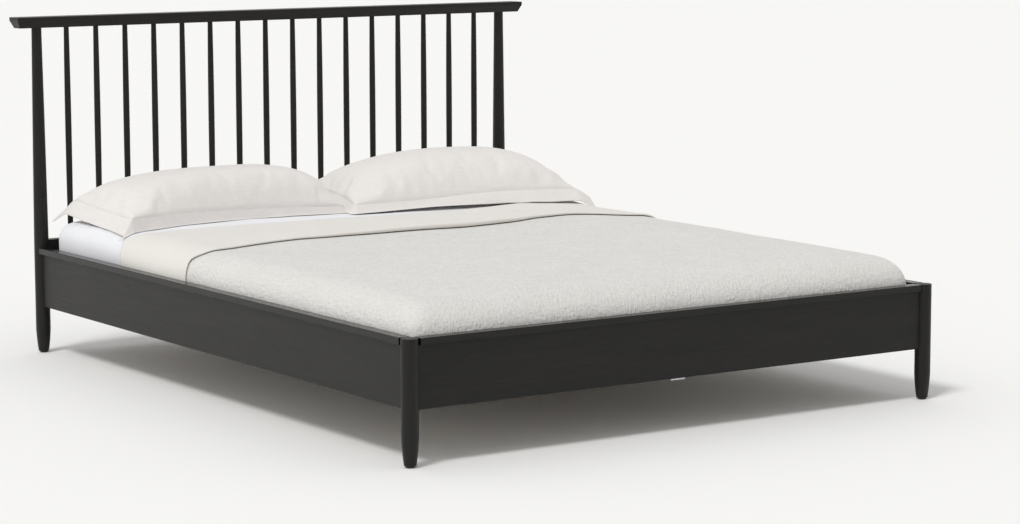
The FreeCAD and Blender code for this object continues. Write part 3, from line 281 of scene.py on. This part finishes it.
LEG_RADIUS = 0.0217
FOOT_RADIUS = 0.0158
FOOT_TOP = 0.072
FOOT_ROUND = 0.005
FOOT_BELLY = 0.0008
COLUMN_LEVEL = 0.2
RAIL_TOP = 0.316
LEG_TOP_ROUND = 0.0015
POST_TOP_RADIUS = 0.0146
POST_TAPER = 1.15
POST_TENON_RADIUS = 0.009
SPINDLE_TENON_LENGTH = 0.014
SPINDLE_TENON_RADIUS = 0.005
SPINDLE_SHOULDER_RADIUS = 0.0065
SPINDLE_END_RADIUS = 0.0076
SPINDLE_SWELL = 0.0019


def foot_profile():
    """From the floor glide up to the column: a slightly bellied taper with a rounded bottom."""
    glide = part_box("leg_glides")[1].z
    rows = softened(glide, FOOT_RADIUS, FOOT_ROUND, 1)
    for t in np.linspace(0.12, 1, 12):
        height = glide + FOOT_ROUND + (FOOT_TOP - glide - FOOT_ROUND) * t
        radius = FOOT_RADIUS + (LEG_RADIUS - FOOT_RADIUS) * t + FOOT_BELLY * math.sin(math.pi * t)
        rows.append((height, radius))
    return rows


def axis_of(node):
    """The place of an upright piece's axis, and the heights of its ends."""
    low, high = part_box(node)
    return (low.x + high.x) / 2, (low.y + high.y) / 2, low.z, high.z


def make_turned_pieces():
    """The front legs, the head posts and the spindles."""
    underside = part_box("crest_rail")[0].z
    for side, _ in SIDES:
        x, y, _, _ = axis_of(f"front_leg_{side}")
        rows = [(COLUMN_LEVEL, LEG_RADIUS)] + softened(RAIL_TOP, LEG_RADIUS, LEG_TOP_ROUND, -1)
        turned(f"turned_front_leg_{side}", foot_profile() + rows, x, y, f"front_leg_{side}", 64)

        x, y, _, top = axis_of(f"head_post_{side}")
        rows = [(COLUMN_LEVEL, LEG_RADIUS), (RAIL_TOP, LEG_RADIUS)]
        for t in np.linspace(0, 1, 15)[1:]:
            radius = LEG_RADIUS + (POST_TOP_RADIUS - LEG_RADIUS) * t ** POST_TAPER
            rows.append((RAIL_TOP + (underside - RAIL_TOP) * t, radius))
        rows += [(underside, POST_TENON_RADIUS), (top, POST_TENON_RADIUS)]
        turned(f"turned_head_post_{side}", foot_profile() + rows, x, y, f"head_post_{side}", 64)

    for node in SPINDLES:
        x, y, low, high = axis_of(node)
        bottom, top = low + SPINDLE_TENON_LENGTH, high - SPINDLE_TENON_LENGTH
        tenon, shoulder = SPINDLE_TENON_RADIUS, SPINDLE_SHOULDER_RADIUS
        rows = [(low, tenon), (bottom, tenon), (bottom, shoulder)]
        for t in np.linspace(0.002, 0.998, 25):
            radius = SPINDLE_END_RADIUS + SPINDLE_SWELL * (1 - (2 * t - 1) ** 2)
            rows.append((bottom + (top - bottom) * t, radius))
        rows += [(top, shoulder), (top, tenon), (high, tenon)]
        turned(f"turned_{node}", rows, x, y, node, 32)


# ---------------------------------------------------------------- flat wooden and steel pieces

BOARD_BEVEL = 0.0009
BOARD_ANGLE = math.radians(25)


def finish_cad_nodes():
    """Gives every CAD piece that stays its material, and softens the edges of the boards."""
    plans = {
        "crest_rail": ASH_ACROSS, "headboard_lower_rail": ASH_ACROSS, "foot_panel": ASH_ACROSS,
        "foot_top_strip": STRIP_ACROSS, "side_panel_left": ASH_ALONG, "side_panel_right": ASH_ALONG,
        "side_top_strip_left": STRIP_ALONG, "side_top_strip_right": STRIP_ALONG,
        "slat_ledger_left": PINE_ALONG, "slat_ledger_right": PINE_ALONG, "centre_beam": PINE_ALONG,
        "centre_leg_1": PINE_UPRIGHT, "centre_leg_2": PINE_UPRIGHT,
        "leg_glides": FELT, "slat_straps": WEBBING,
    }
    for name, node in NODES.items():
        if name.startswith("slat_") and name[5:].isdigit():
            plans[name] = PINE_ACROSS
        material = plans.get(name, ZINC)
        node.data.materials.clear()
        node.data.materials.append(material)
        if material in (ASH_ACROSS, ASH_ALONG, STRIP_ACROSS, STRIP_ALONG):
            settings = {"segments": 2, "limit_method": "ANGLE", "angle_limit": BOARD_ANGLE}
            add_modifier(node, "BEVEL", width=BOARD_BEVEL, **settings)


# ---------------------------------------------------------------- mattress and bedding

MATTRESS_LOW, MATTRESS_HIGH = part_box("mattress")
HALF_WIDTH = MATTRESS_HIGH.x
HALF_LENGTH = (MATTRESS_HIGH.y - MATTRESS_LOW.y) / 2
MIDDLE_Y = (MATTRESS_HIGH.y + MATTRESS_LOW.y) / 2
HEAD_Y = (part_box("crest_rail")[0].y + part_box("crest_rail")[1].y) / 2
# The mattress's form: its edge's level and rounding, how both change towards the head, its crown, how square
# its corners are in plan, and how far its head end reaches out.
EDGE_LEVEL = 0.385
EDGE_ROUND = 0.080
HEAD_RAISE = 0.013
HEAD_SHARPER = 0.028
HEADWARD = (0.30, 0.75)
RAISED_FROM = 0.29
CROWN = 0.016
PLAN_POWER = 4.2
HEAD_STRETCH = 0.012
# How far each cloth lies outside that form, and the loose cloth's broad and fine waves.
MATTRESS_SKIN = -0.001
SHEET_SKIN = 0.0012
COVER_SKIN = 0.0048
BROAD_WAVE = 0.0022
FINE_WAVE = 0.0010
WAVE_SEED = 11.0
# The turned-down band's far and near edges: places across the bed, each with its distance from the crest
# rail's axis.
FAR_PLACES = (
    (-0.794, 0.484), (-0.775, 0.492), (-0.735, 0.522), (-0.650, 0.536), (0.650, 0.536), (0.794, 0.490),
)
NEAR_PLACES = (
    (-0.794, 0.874), (-0.774, 0.879), (-0.758, 0.896), (-0.730, 0.912), (-0.693, 0.920), (-0.609, 0.908),
    (-0.477, 0.899), (-0.358, 0.915), (-0.133, 0.925), (0.076, 0.943), (0.249, 0.916), (0.370, 0.874),
    (0.446, 0.857), (0.578, 0.857), (0.650, 0.910), (0.720, 0.940), (0.794, 0.945),
)


def smooth(value, low, high):
    """A soft step from 0 at low to 1 at high."""
    t = np.clip((np.asarray(value, float) - low) / (high - low), 0, 1)
    return t * t * (3 - 2 * t)


def soft_line(places, x):
    """A smooth line through given places, read at x."""
    known, level = np.array(places).T
    slope = np.gradient(level, known)
    k = np.clip(np.searchsorted(known, x) - 1, 0, len(known) - 2)
    width = known[k + 1] - known[k]
    t = np.clip((x - known[k]) / width, 0, 1)
    ease = t * t * (3 - 2 * t)
    bend = width * t * (1 - t) * (slope[k] * (1 - t) - slope[k + 1] * t)
    return level[k] * (1 - ease) + level[k + 1] * ease + bend


def ripple(points, scale, seed):
    """Smooth noise from -1 to 1 at each point, scaled on each axis."""
    places = np.asarray(points) * scale + (0, 0, seed)
    return np.array([noise.noise(Vector(place)) for place in places])


def over_form(points, grow):
    """Moves the points of a plain block onto the mattress's rounded and crowned form, grown by a distance."""
    p = np.array(points, float)
    headward = smooth(p[:, 1], *HEADWARD)
    level = EDGE_LEVEL + HEAD_RAISE * headward
    rounding = EDGE_ROUND - HEAD_SHARPER * headward
    p[:, 2] += (level - EDGE_LEVEL) * smooth(p[:, 2], RAISED_FROM, EDGE_LEVEL)
    core_x = np.clip(p[:, 0], rounding - HALF_WIDTH, HALF_WIDTH - rounding)
    reach = HALF_LENGTH - rounding
    core_y = np.clip(p[:, 1] - MIDDLE_Y, -reach, reach + HEAD_STRETCH) + MIDDLE_Y
    core = np.stack([core_x, core_y, np.minimum(p[:, 2], level - rounding)], axis=1)
    out = p - core
    flat = (np.abs(out[:, 0]) ** PLAN_POWER + np.abs(out[:, 1]) ** PLAN_POWER) ** (1 / PLAN_POWER)
    length = np.hypot(flat, out[:, 2])
    away = np.divide(out, length[:, None], out=np.zeros_like(out), where=length[:, None] > 1e-9)
    q = core + away * (rounding + grow)[:, None]
    u = np.clip(np.abs(q[:, 0]) / HALF_WIDTH, 0, 1)
    v = np.clip(np.abs(q[:, 1] - MIDDLE_Y) / HALF_LENGTH, 0, 1)
    weight = np.clip((q[:, 2] - (level - rounding)) / rounding, 0, 1) ** 2
    q[:, 2] += CROWN * (1 - u ** 4) * (1 - v ** 4) * weight
    return q


def form_height(x, y, grow):
    """The form's height over many places."""
    flat = np.stack([x, y, np.full_like(x, EDGE_LEVEL)], axis=1)
    return over_form(flat, np.broadcast_to(grow, np.shape(x)))[:, 2]


def slack(points):
    """How far loose cloth rises and dips over the mattress's top. Coverlet and band share these waves."""
    upper = smooth(points[:, 2], 0.33, EDGE_LEVEL)
    broad = ripple(points, (3.2, 4.6, 0), WAVE_SEED)
    fine = ripple(points, (9.0, 12.0, 0), WAVE_SEED + 4)
    return upper * (BROAD_WAVE * broad + FINE_WAVE * fine)


def block(x_steps, y_steps, z_steps, sides):
    """Grid points and faces on chosen sides of a block: any of top, bottom, x0, x1, y0 and y1."""
    nx, ny, nz = len(x_steps) - 1, len(y_steps) - 1, len(z_steps) - 1
    index, faces = {}, []

    def quad(*corners):
        faces.append([index.setdefault(corner, len(index)) for corner in corners])

    for i in range(nx):
        for j in range(ny):
            if "top" in sides:
                quad((i, j, nz), (i + 1, j, nz), (i + 1, j + 1, nz), (i, j + 1, nz))
            if "bottom" in sides:
                quad((i, j, 0), (i, j + 1, 0), (i + 1, j + 1, 0), (i + 1, j, 0))
    for k in range(nz):
        for i in range(nx):
            if "y0" in sides:
                quad((i, 0, k), (i + 1, 0, k), (i + 1, 0, k + 1), (i, 0, k + 1))
            if "y1" in sides:
                quad((i + 1, ny, k), (i, ny, k), (i, ny, k + 1), (i + 1, ny, k + 1))
        for j in range(ny):
            if "x0" in sides:
                quad((0, j + 1, k), (0, j, k), (0, j, k + 1), (0, j + 1, k + 1))
            if "x1" in sides:
                quad((nx, j, k), (nx, j + 1, k), (nx, j + 1, k + 1), (nx, j, k + 1))
    points = np.array([(x_steps[i], y_steps[j], z_steps[k]) for i, j, k in index])
    return points, faces


def steps(low, high, spacing):
    """Even places from low to high, about a spacing apart."""
    return np.linspace(low, high, max(2, round((high - low) / spacing) + 1))


CLOTH_CELL = 0.016
CLOTH_CELL_UP = 0.012
SHEET_BOTTOM = 0.242


def make_mattress():
    points, faces = block(
        steps(-HALF_WIDTH, HALF_WIDTH, 0.03), steps(MATTRESS_LOW.y, MATTRESS_HIGH.y, 0.03),
        steps(MATTRESS_LOW.z, EDGE_LEVEL, 0.025), {"top", "bottom", "x0", "x1", "y0", "y1"},
    )
    shaped = over_form(points, np.full(len(points), MATTRESS_SKIN))
    piece = mesh_piece("quilted_mattress", shaped, faces, TICKING, "bedding")
    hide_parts("mattress")


def make_fitted_sheet():
    """The fitted sheet over the mattress's top and sides, with small pulls in it near the head."""
    points, faces = block(
        steps(-HALF_WIDTH, HALF_WIDTH, CLOTH_CELL), steps(MATTRESS_LOW.y, MATTRESS_HIGH.y, CLOTH_CELL),
        steps(SHEET_BOTTOM, EDGE_LEVEL, CLOTH_CELL_UP), {"top", "x0", "x1", "y0", "y1"},
    )
    shaped = over_form(points, np.full(len(points), SHEET_SKIN))
    pulls = ripple(shaped, (10.0, 26.0, 3.0), 3.0) * smooth(shaped[:, 1], 0.40, 0.60)
    shaped[:, 2] += 0.0014 * pulls * smooth(shaped[:, 2], 0.36, 0.39)
    on_wall = (1 - smooth(shaped[:, 2], 0.34, 0.38)) * (np.abs(shaped[:, 0]) > 0.7)
    shaped[:, 0] += 0.0010 * pulls * np.sign(shaped[:, 0]) * on_wall
    piece = mesh_piece("fitted_percale_sheet", shaped, faces, PERCALE, "bedding")
    give_thickness(piece, 0.0008)
    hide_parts("fitted_sheet")


COVER_BOTTOM = 0.272
COVER_HEAD = HEAD_Y - 0.76


def make_coverlet():
    """The coverlet, from the foot end to beneath the band."""
    points, faces = block(
        steps(-HALF_WIDTH, HALF_WIDTH, CLOTH_CELL), steps(MATTRESS_LOW.y, COVER_HEAD, CLOTH_CELL),
        steps(COVER_BOTTOM, EDGE_LEVEL, CLOTH_CELL_UP), {"top", "x0", "x1", "y0"},
    )
    shaped = over_form(points, np.full(len(points), COVER_SKIN))
    shaped[:, 2] += slack(shaped)
    piece = mesh_piece("crinkled_coverlet", shaped, faces, COVERLET, "bedding")
    give_thickness(piece, 0.0028)
    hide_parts("coverlet")


HANG_ROWS = 10
BAND_CELL = 0.014
BAND_SKIN = 0.0064
BAND_LIFT = 0.0052
TUCK_LIFT = 0.0010
TUCK_DEPTH = 0.05
ROLL_LEAST = 0.0026
ROLL_MORE = 0.0050


def make_turn_down():
    """The turned-down band, its near edge folded under in a soft roll.

    It keeps one height over the form, also past the coverlet's end, so its far edge is about 10 mm over the
    sheet.
    """
    side_drop = EDGE_LEVEL - COVER_BOTTOM
    hang = np.linspace(side_drop, 0.011, HANG_ROWS)
    top = steps(-HALF_WIDTH, HALF_WIDTH, BAND_CELL)
    wide = np.concatenate([[-HALF_WIDTH] * HANG_ROWS, top, [HALF_WIDTH] * HANG_ROWS])
    drop = np.concatenate([hang, np.zeros(len(top)), hang[::-1]])
    roll = ROLL_LEAST + ROLL_MORE * np.exp(-((wide - 0.02) / 0.34) ** 2)
    roll *= 1 - 0.35 * smooth(drop, 0.0, 0.07)
    trail = 0.020 * smooth(drop, 0.0, 0.09)
    near = HEAD_Y - soft_line(NEAR_PLACES, wide) - trail
    far = HEAD_Y - soft_line(FAR_PLACES, wide) - trail
    rows, lifts = [], []
    for t in np.linspace(0, 1, 34):
        y = far + (near + roll - far) * t
        rows.append(y)
        lifts.append(BAND_LIFT + (2 * roll + TUCK_LIFT - BAND_LIFT) * smooth(y, near + 0.07, near))
    for a in np.linspace(0, math.pi, 9)[1:-1]:
        rows.append(near + roll - roll * np.sin(a))
        lifts.append(TUCK_LIFT + roll * (1 + np.cos(a)))
    for t in np.linspace(0, 1, 5):
        rows.append(near + roll + TUCK_DEPTH * t)
        lifts.append(np.full(len(wide), TUCK_LIFT) + 0.0004 * t)
    columns = len(wide)
    flat = np.array([(wide[c], row[c], EDGE_LEVEL - drop[c]) for row in rows for c in range(columns)])
    shaped = over_form(flat, BAND_SKIN + np.concatenate(lifts))
    shaped[:, 2] += slack(shaped)
    faces = [
        (r * columns + c, (r + 1) * columns + c, (r + 1) * columns + c + 1, r * columns + c + 1)
        for r in range(len(rows) - 1) for c in range(columns - 1)
    ]
    piece = mesh_piece("turned_down_band", shaped, faces, TURN_DOWN, "bedding")
    give_thickness(piece, 0.0016)
    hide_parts("turn_down")


# ---------------------------------------------------------------- pillows

PILLOW_CELL = 0.0105
FLANGE = 0.046
FLANGE_ROWS = 6
FLARE = 0.020
END_SAG = 0.012
INNER_STEEP = 1.15
BORDER_WAVE = 0.0030
BORDER_SWAY = 0.004
BORDER_CRIMP = 0.0022
# middle, half and turn: the sewn part's place, half size and turn on the bed. height: its crown's height.
# seams: the seam's height at the front's left and right, and at the back. lean: how far the crown sits to one
# side. power: how square it is. fullness: how slowly it rises from the seam. pull: how far the middles of the
# ends and of the long sides are drawn in. steep: how far the border tips down at the front, the back and the
# outer end, in radians.
PILLOWS = {
    "left": {
        "middle": (-0.392, 0.775), "half": (0.353, 0.196), "turn": 0.0, "height": 0.132,
        "seams": (0.041, 0.022, 0.066), "lean": 0.14, "power": 3.4, "fullness": 0.55,
        "pull": (0.026, 0.177), "steep": (1.376, 0.25, 0.95),
    },
    "right": {
        "middle": (0.382, 0.712), "half": (0.372, 0.209), "turn": -0.142, "height": 0.151,
        "seams": (0.026, 0.043, 0.053), "lean": 0.167, "power": 2.7, "fullness": 0.58,
        "pull": (0.050, 0.062), "steep": (0.90, 0.50, 0.28),
    },
}


def pillow_rows(half, cells):
    """Grid lines across a pillow and its flange, with the flange's ones beyond the seam."""
    rim = [FLANGE * (k + 1) / FLANGE_ROWS for k in range(FLANGE_ROWS)]
    sewn = list(np.linspace(-half, half, cells + 1))
    return [-half - r for r in reversed(rim)] + sewn + [half + r for r in rim]


def pillow_form(shape, sign, flat, layer, seed):
    """Places the flat pillow's points in space. layer is 0 above, 1 beneath."""
    half_x, half_y = shape["half"]
    s = np.clip(flat[:, 0] / half_x, -1, 1)
    t = np.clip(flat[:, 1] / half_y, -1, 1)
    beyond_x = np.maximum(np.abs(flat[:, 0]) - half_x, 0)
    beyond_y = np.maximum(np.abs(flat[:, 1]) - half_y, 0)
    front_steep, back_steep, end_steep = shape["steep"]
    inner = (np.sign(flat[:, 0]) == -sign) & (beyond_x > 0)
    front = flat[:, 1] < 0
    steep_x = np.where(inner, INNER_STEEP, end_steep)
    steep_y = np.where(front, front_steep, back_steep)
    pull_x, pull_y = shape["pull"]
    x = half_x * s * (1 - pull_x * (1 - t ** 2) * s ** 2) + np.sign(flat[:, 0]) * beyond_x * np.cos(steep_x)
    y = half_y * t * (1 - pull_y * (1 - s ** 2) * t ** 2) + np.sign(flat[:, 1]) * beyond_y * np.cos(steep_y)
    outer = np.sign(flat[:, 0]) == sign
    flare = outer * beyond_x * beyond_y / FLANGE ** 2
    x += sign * FLARE * flare
    fall = beyond_x * np.sin(steep_x) + beyond_y * np.sin(steep_y)
    seam_left, seam_right, seam_back = shape["seams"]
    front_seam = seam_left + (seam_right - seam_left) * (s + 1) / 2
    seam = front_seam + (seam_back - front_seam) * (t + 1) / 2 - END_SAG * outer * s ** 4 * (1 - t ** 2)
    leaning = s + shape["lean"] * (s ** 2 - 1)
    full = (1 - np.abs(leaning) ** shape["power"]) * (1 - np.abs(t) ** shape["power"])
    full = np.clip(full, 0, 1) ** shape["fullness"]
    beneath = np.clip(2.2 * (1 - s ** 4) * (1 - t ** 4), 0, 1)
    z = np.where(layer == 0, seam + (shape["height"] - seam) * full, seam * (1 - beneath)) - fall
    edge = np.maximum(beyond_x, beyond_y) / FLANGE
    plan = np.stack([flat[:, 0], flat[:, 1], flat[:, 0] * 0], axis=1)
    wave = ripple(plan, (17.0, 17.0, 0), seed)
    crimp = ripple(plan, (44.0, 10.0, 0), seed + 9)
    z += edge * BORDER_WAVE * wave
    y -= edge * front * (BORDER_SWAY * wave + BORDER_CRIMP * crimp)
    turn = shape["turn"]
    placed_x = shape["middle"][0] + x * math.cos(turn) - y * math.sin(turn)
    placed_y = shape["middle"][1] + x * math.sin(turn) + y * math.cos(turn)
    over_band = 1 - smooth(placed_y, 0.50, 0.54)
    ground = form_height(placed_x, placed_y, 0.0025 + 0.010 * over_band)
    return np.stack([placed_x, placed_y, ground + np.maximum(z, 0.0015)], axis=1), ground


def make_pillow(side, sign, seed):
    """A pillow in a flanged case."""
    half_x, half_y = PILLOWS[side]["half"]
    nx, ny = round(2 * half_x / PILLOW_CELL), round(2 * half_y / PILLOW_CELL)
    rows_x, rows_y = pillow_rows(half_x, nx), pillow_rows(half_y, ny)
    across = range(FLANGE_ROWS, FLANGE_ROWS + nx)
    along = range(FLANGE_ROWS, FLANGE_ROWS + ny)
    index, faces = {}, []

    def vertex(i, j, layer):
        inside = i in across[1:] and j in along[1:]
        return index.setdefault((i, j, layer if inside else 0), len(index))

    for i in range(len(rows_x) - 1):
        for j in range(len(rows_y) - 1):
            ring = ((i, j), (i + 1, j), (i + 1, j + 1), (i, j + 1))
            faces.append([vertex(*corner, 0) for corner in ring])
            if i in across and j in along:
                under = ((i, j), (i, j + 1), (i + 1, j + 1), (i + 1, j))
                faces.append([vertex(*corner, 1) for corner in under])
    flat = np.array([(rows_x[i], rows_y[j]) for i, j, _ in index])
    layer = np.array([key[2] for key in index])
    filled = [at for at, (i, j, _) in enumerate(index) if i in across[1:] and j in along[1:]]
    shaped, ground = pillow_form(PILLOWS[side], sign, flat, layer, seed)
    piece = mesh_piece(f"flanged_pillow_{side}", shaped, faces, LINEN, f"pillow_{side}")
    fill_out(piece, filled, shaped, ground)
    give_thickness(piece, 0.0012)
    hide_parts(f"pillow_{side}")


SWELL_LIMIT = 0.010
SWELL_FRAMES = 20
SWELL_SETTINGS = {
    "quality": 5, "mass": 0.2, "tension_stiffness": 30, "compression_stiffness": 30, "shear_stiffness": 8,
    "bending_stiffness": 0.15, "air_damping": 3, "use_pressure": True, "uniform_pressure_force": 3.0,
    "vertex_group_pressure": "filled", "vertex_group_mass": "sewn", "pin_stiffness": 10, "shrink_min": -0.035,
}


def fill_out(piece, filled, shaped, ground):
    """Swells the pillow's loose cloth against its pinned border, moving each point by SWELL_LIMIT at most."""
    sewn = sorted(set(range(len(shaped))) - set(filled))
    for name, chosen in (("filled", filled), ("sewn", sewn)):
        piece.vertex_groups.new(name=name).add(chosen, 1.0, "REPLACE")
    modifier = piece.modifiers.new("Cloth", "CLOTH")
    for key, value in SWELL_SETTINGS.items():
        setattr(modifier.settings, key, value)
    modifier.settings.effector_weights.gravity = 0
    modifier.collision_settings.use_collision = False
    modifier.point_cache.frame_start = 1
    modifier.point_cache.frame_end = SWELL_FRAMES
    scene = bpy.context.scene
    for number in range(1, SWELL_FRAMES + 1):
        scene.frame_set(number)
    result = bpy.data.meshes.new_from_object(piece.evaluated_get(bpy.context.evaluated_depsgraph_get()))
    swollen = np.zeros(shaped.size)
    result.vertices.foreach_get("co", swollen)
    bpy.data.meshes.remove(result)
    piece.modifiers.remove(modifier)
    scene.frame_set(1)
    moved = swollen.reshape(-1, 3) - shaped
    far = np.linalg.norm(moved, axis=1, keepdims=True)
    moved *= SWELL_LIMIT * np.tanh(far / SWELL_LIMIT) / np.maximum(far, 1e-9)
    kept = shaped + moved
    kept[:, 2] = np.maximum(kept[:, 2], ground + 0.0012)
    piece.data.vertices.foreach_set("co", kept.ravel())
    piece.data.update()


# ---------------------------------------------------------------- light, floor and camera

FLOOR_REACH = 60.0
FLOOR_COLOUR = rgb(0.955, 0.95, 0.935)
WORLD_COLOUR = rgb(1.0, 0.998, 0.992)
FRONT_STRENGTH, BACK_STRENGTH = 0.50, 0.78
KEY_STRENGTH = 1.3
KEY_SPREAD = math.radians(14)
KEY_TOWARD = Vector((0.75, 0.32, -1.30))


def make_floor():
    """A plain pale floor, which is stage and no part of the bed."""
    data = bpy.data.meshes.new("floor")
    corners = [(x * FLOOR_REACH, y * FLOOR_REACH, 0) for x, y in ((-1, -1), (1, -1), (1, 1), (-1, 1))]
    data.from_pydata(corners, [], [(0, 1, 2, 3)])
    floor = bpy.data.objects.new("floor", data)
    bpy.context.scene.collection.objects.link(floor)
    tree = Tree("floor_paper")
    tree.shader.inputs["Base Color"].default_value = FLOOR_COLOUR
    tree.shader.inputs["Roughness"].default_value = 0.9
    tree.shader.inputs["Specular IOR Level"].default_value = 0.1
    data.materials.append(tree.material)


def make_light():
    """A pale world, brighter towards the bed's head, and one soft sun from the front left."""
    world = bpy.data.worlds.new("studio")
    bpy.context.scene.world = world
    world.use_nodes = True
    nodes, links = world.node_tree.nodes, world.node_tree.links
    background = nodes["Background"]
    background.inputs["Color"].default_value = WORLD_COLOUR
    direction = nodes.new("ShaderNodeTexCoord")
    split = nodes.new("ShaderNodeSeparateXYZ")
    falloff = nodes.new("ShaderNodeMapRange")
    links.new(direction.outputs["Generated"], split.inputs["Vector"])
    links.new(split.outputs["Y"], falloff.inputs["Value"])
    links.new(falloff.outputs["Result"], background.inputs["Strength"])
    ranges = {"From Min": -1.0, "From Max": 1.0, "To Min": FRONT_STRENGTH, "To Max": BACK_STRENGTH}
    for socket, value in ranges.items():
        falloff.inputs[socket].default_value = value
    lamp = bpy.data.lights.new("key", "SUN")
    lamp.energy = KEY_STRENGTH
    lamp.angle = KEY_SPREAD
    key = bpy.data.objects.new("key", lamp)
    bpy.context.scene.collection.objects.link(key)
    key.rotation_euler = KEY_TOWARD.to_track_quat("-Z", "Y").to_euler()


CAMERA_PLACE = (-4.4728, -6.9417, 1.4297)
CAMERA_TURN = (0.5895, 0.1333, -0.0023)
CAMERA_LENS = 103.42


def make_camera():
    """The photograph's camera, fitted to its spindles, legs, rails and crest rail."""
    yaw, pitch, roll = CAMERA_TURN
    ahead = Vector((math.sin(yaw) * math.cos(pitch), math.cos(yaw) * math.cos(pitch), -math.sin(pitch)))
    right = Vector((math.cos(yaw), -math.sin(yaw), 0))
    up = right.cross(ahead)
    rolled_right = right * math.cos(roll) + up * math.sin(roll)
    rolled_up = up * math.cos(roll) - right * math.sin(roll)
    data = bpy.data.cameras.new("view")
    data.sensor_fit = "HORIZONTAL"
    data.sensor_width = 36.0
    data.lens = CAMERA_LENS
    camera = bpy.data.objects.new("view", data)
    turn = Matrix((rolled_right, rolled_up, -ahead)).transposed().to_4x4()
    camera.matrix_world = Matrix.Translation(CAMERA_PLACE) @ turn
    bpy.context.scene.collection.objects.link(camera)
    bpy.context.scene.camera = camera


make_turned_pieces()
finish_cad_nodes()
make_mattress()
make_fitted_sheet()
make_coverlet()
make_turn_down()
for number, (side, sign) in enumerate(SIDES):
    make_pillow(side, sign, seed=number * 7.3)
make_floor()
make_light()
make_camera()
bpy.context.scene.view_settings.view_transform = "Standard"
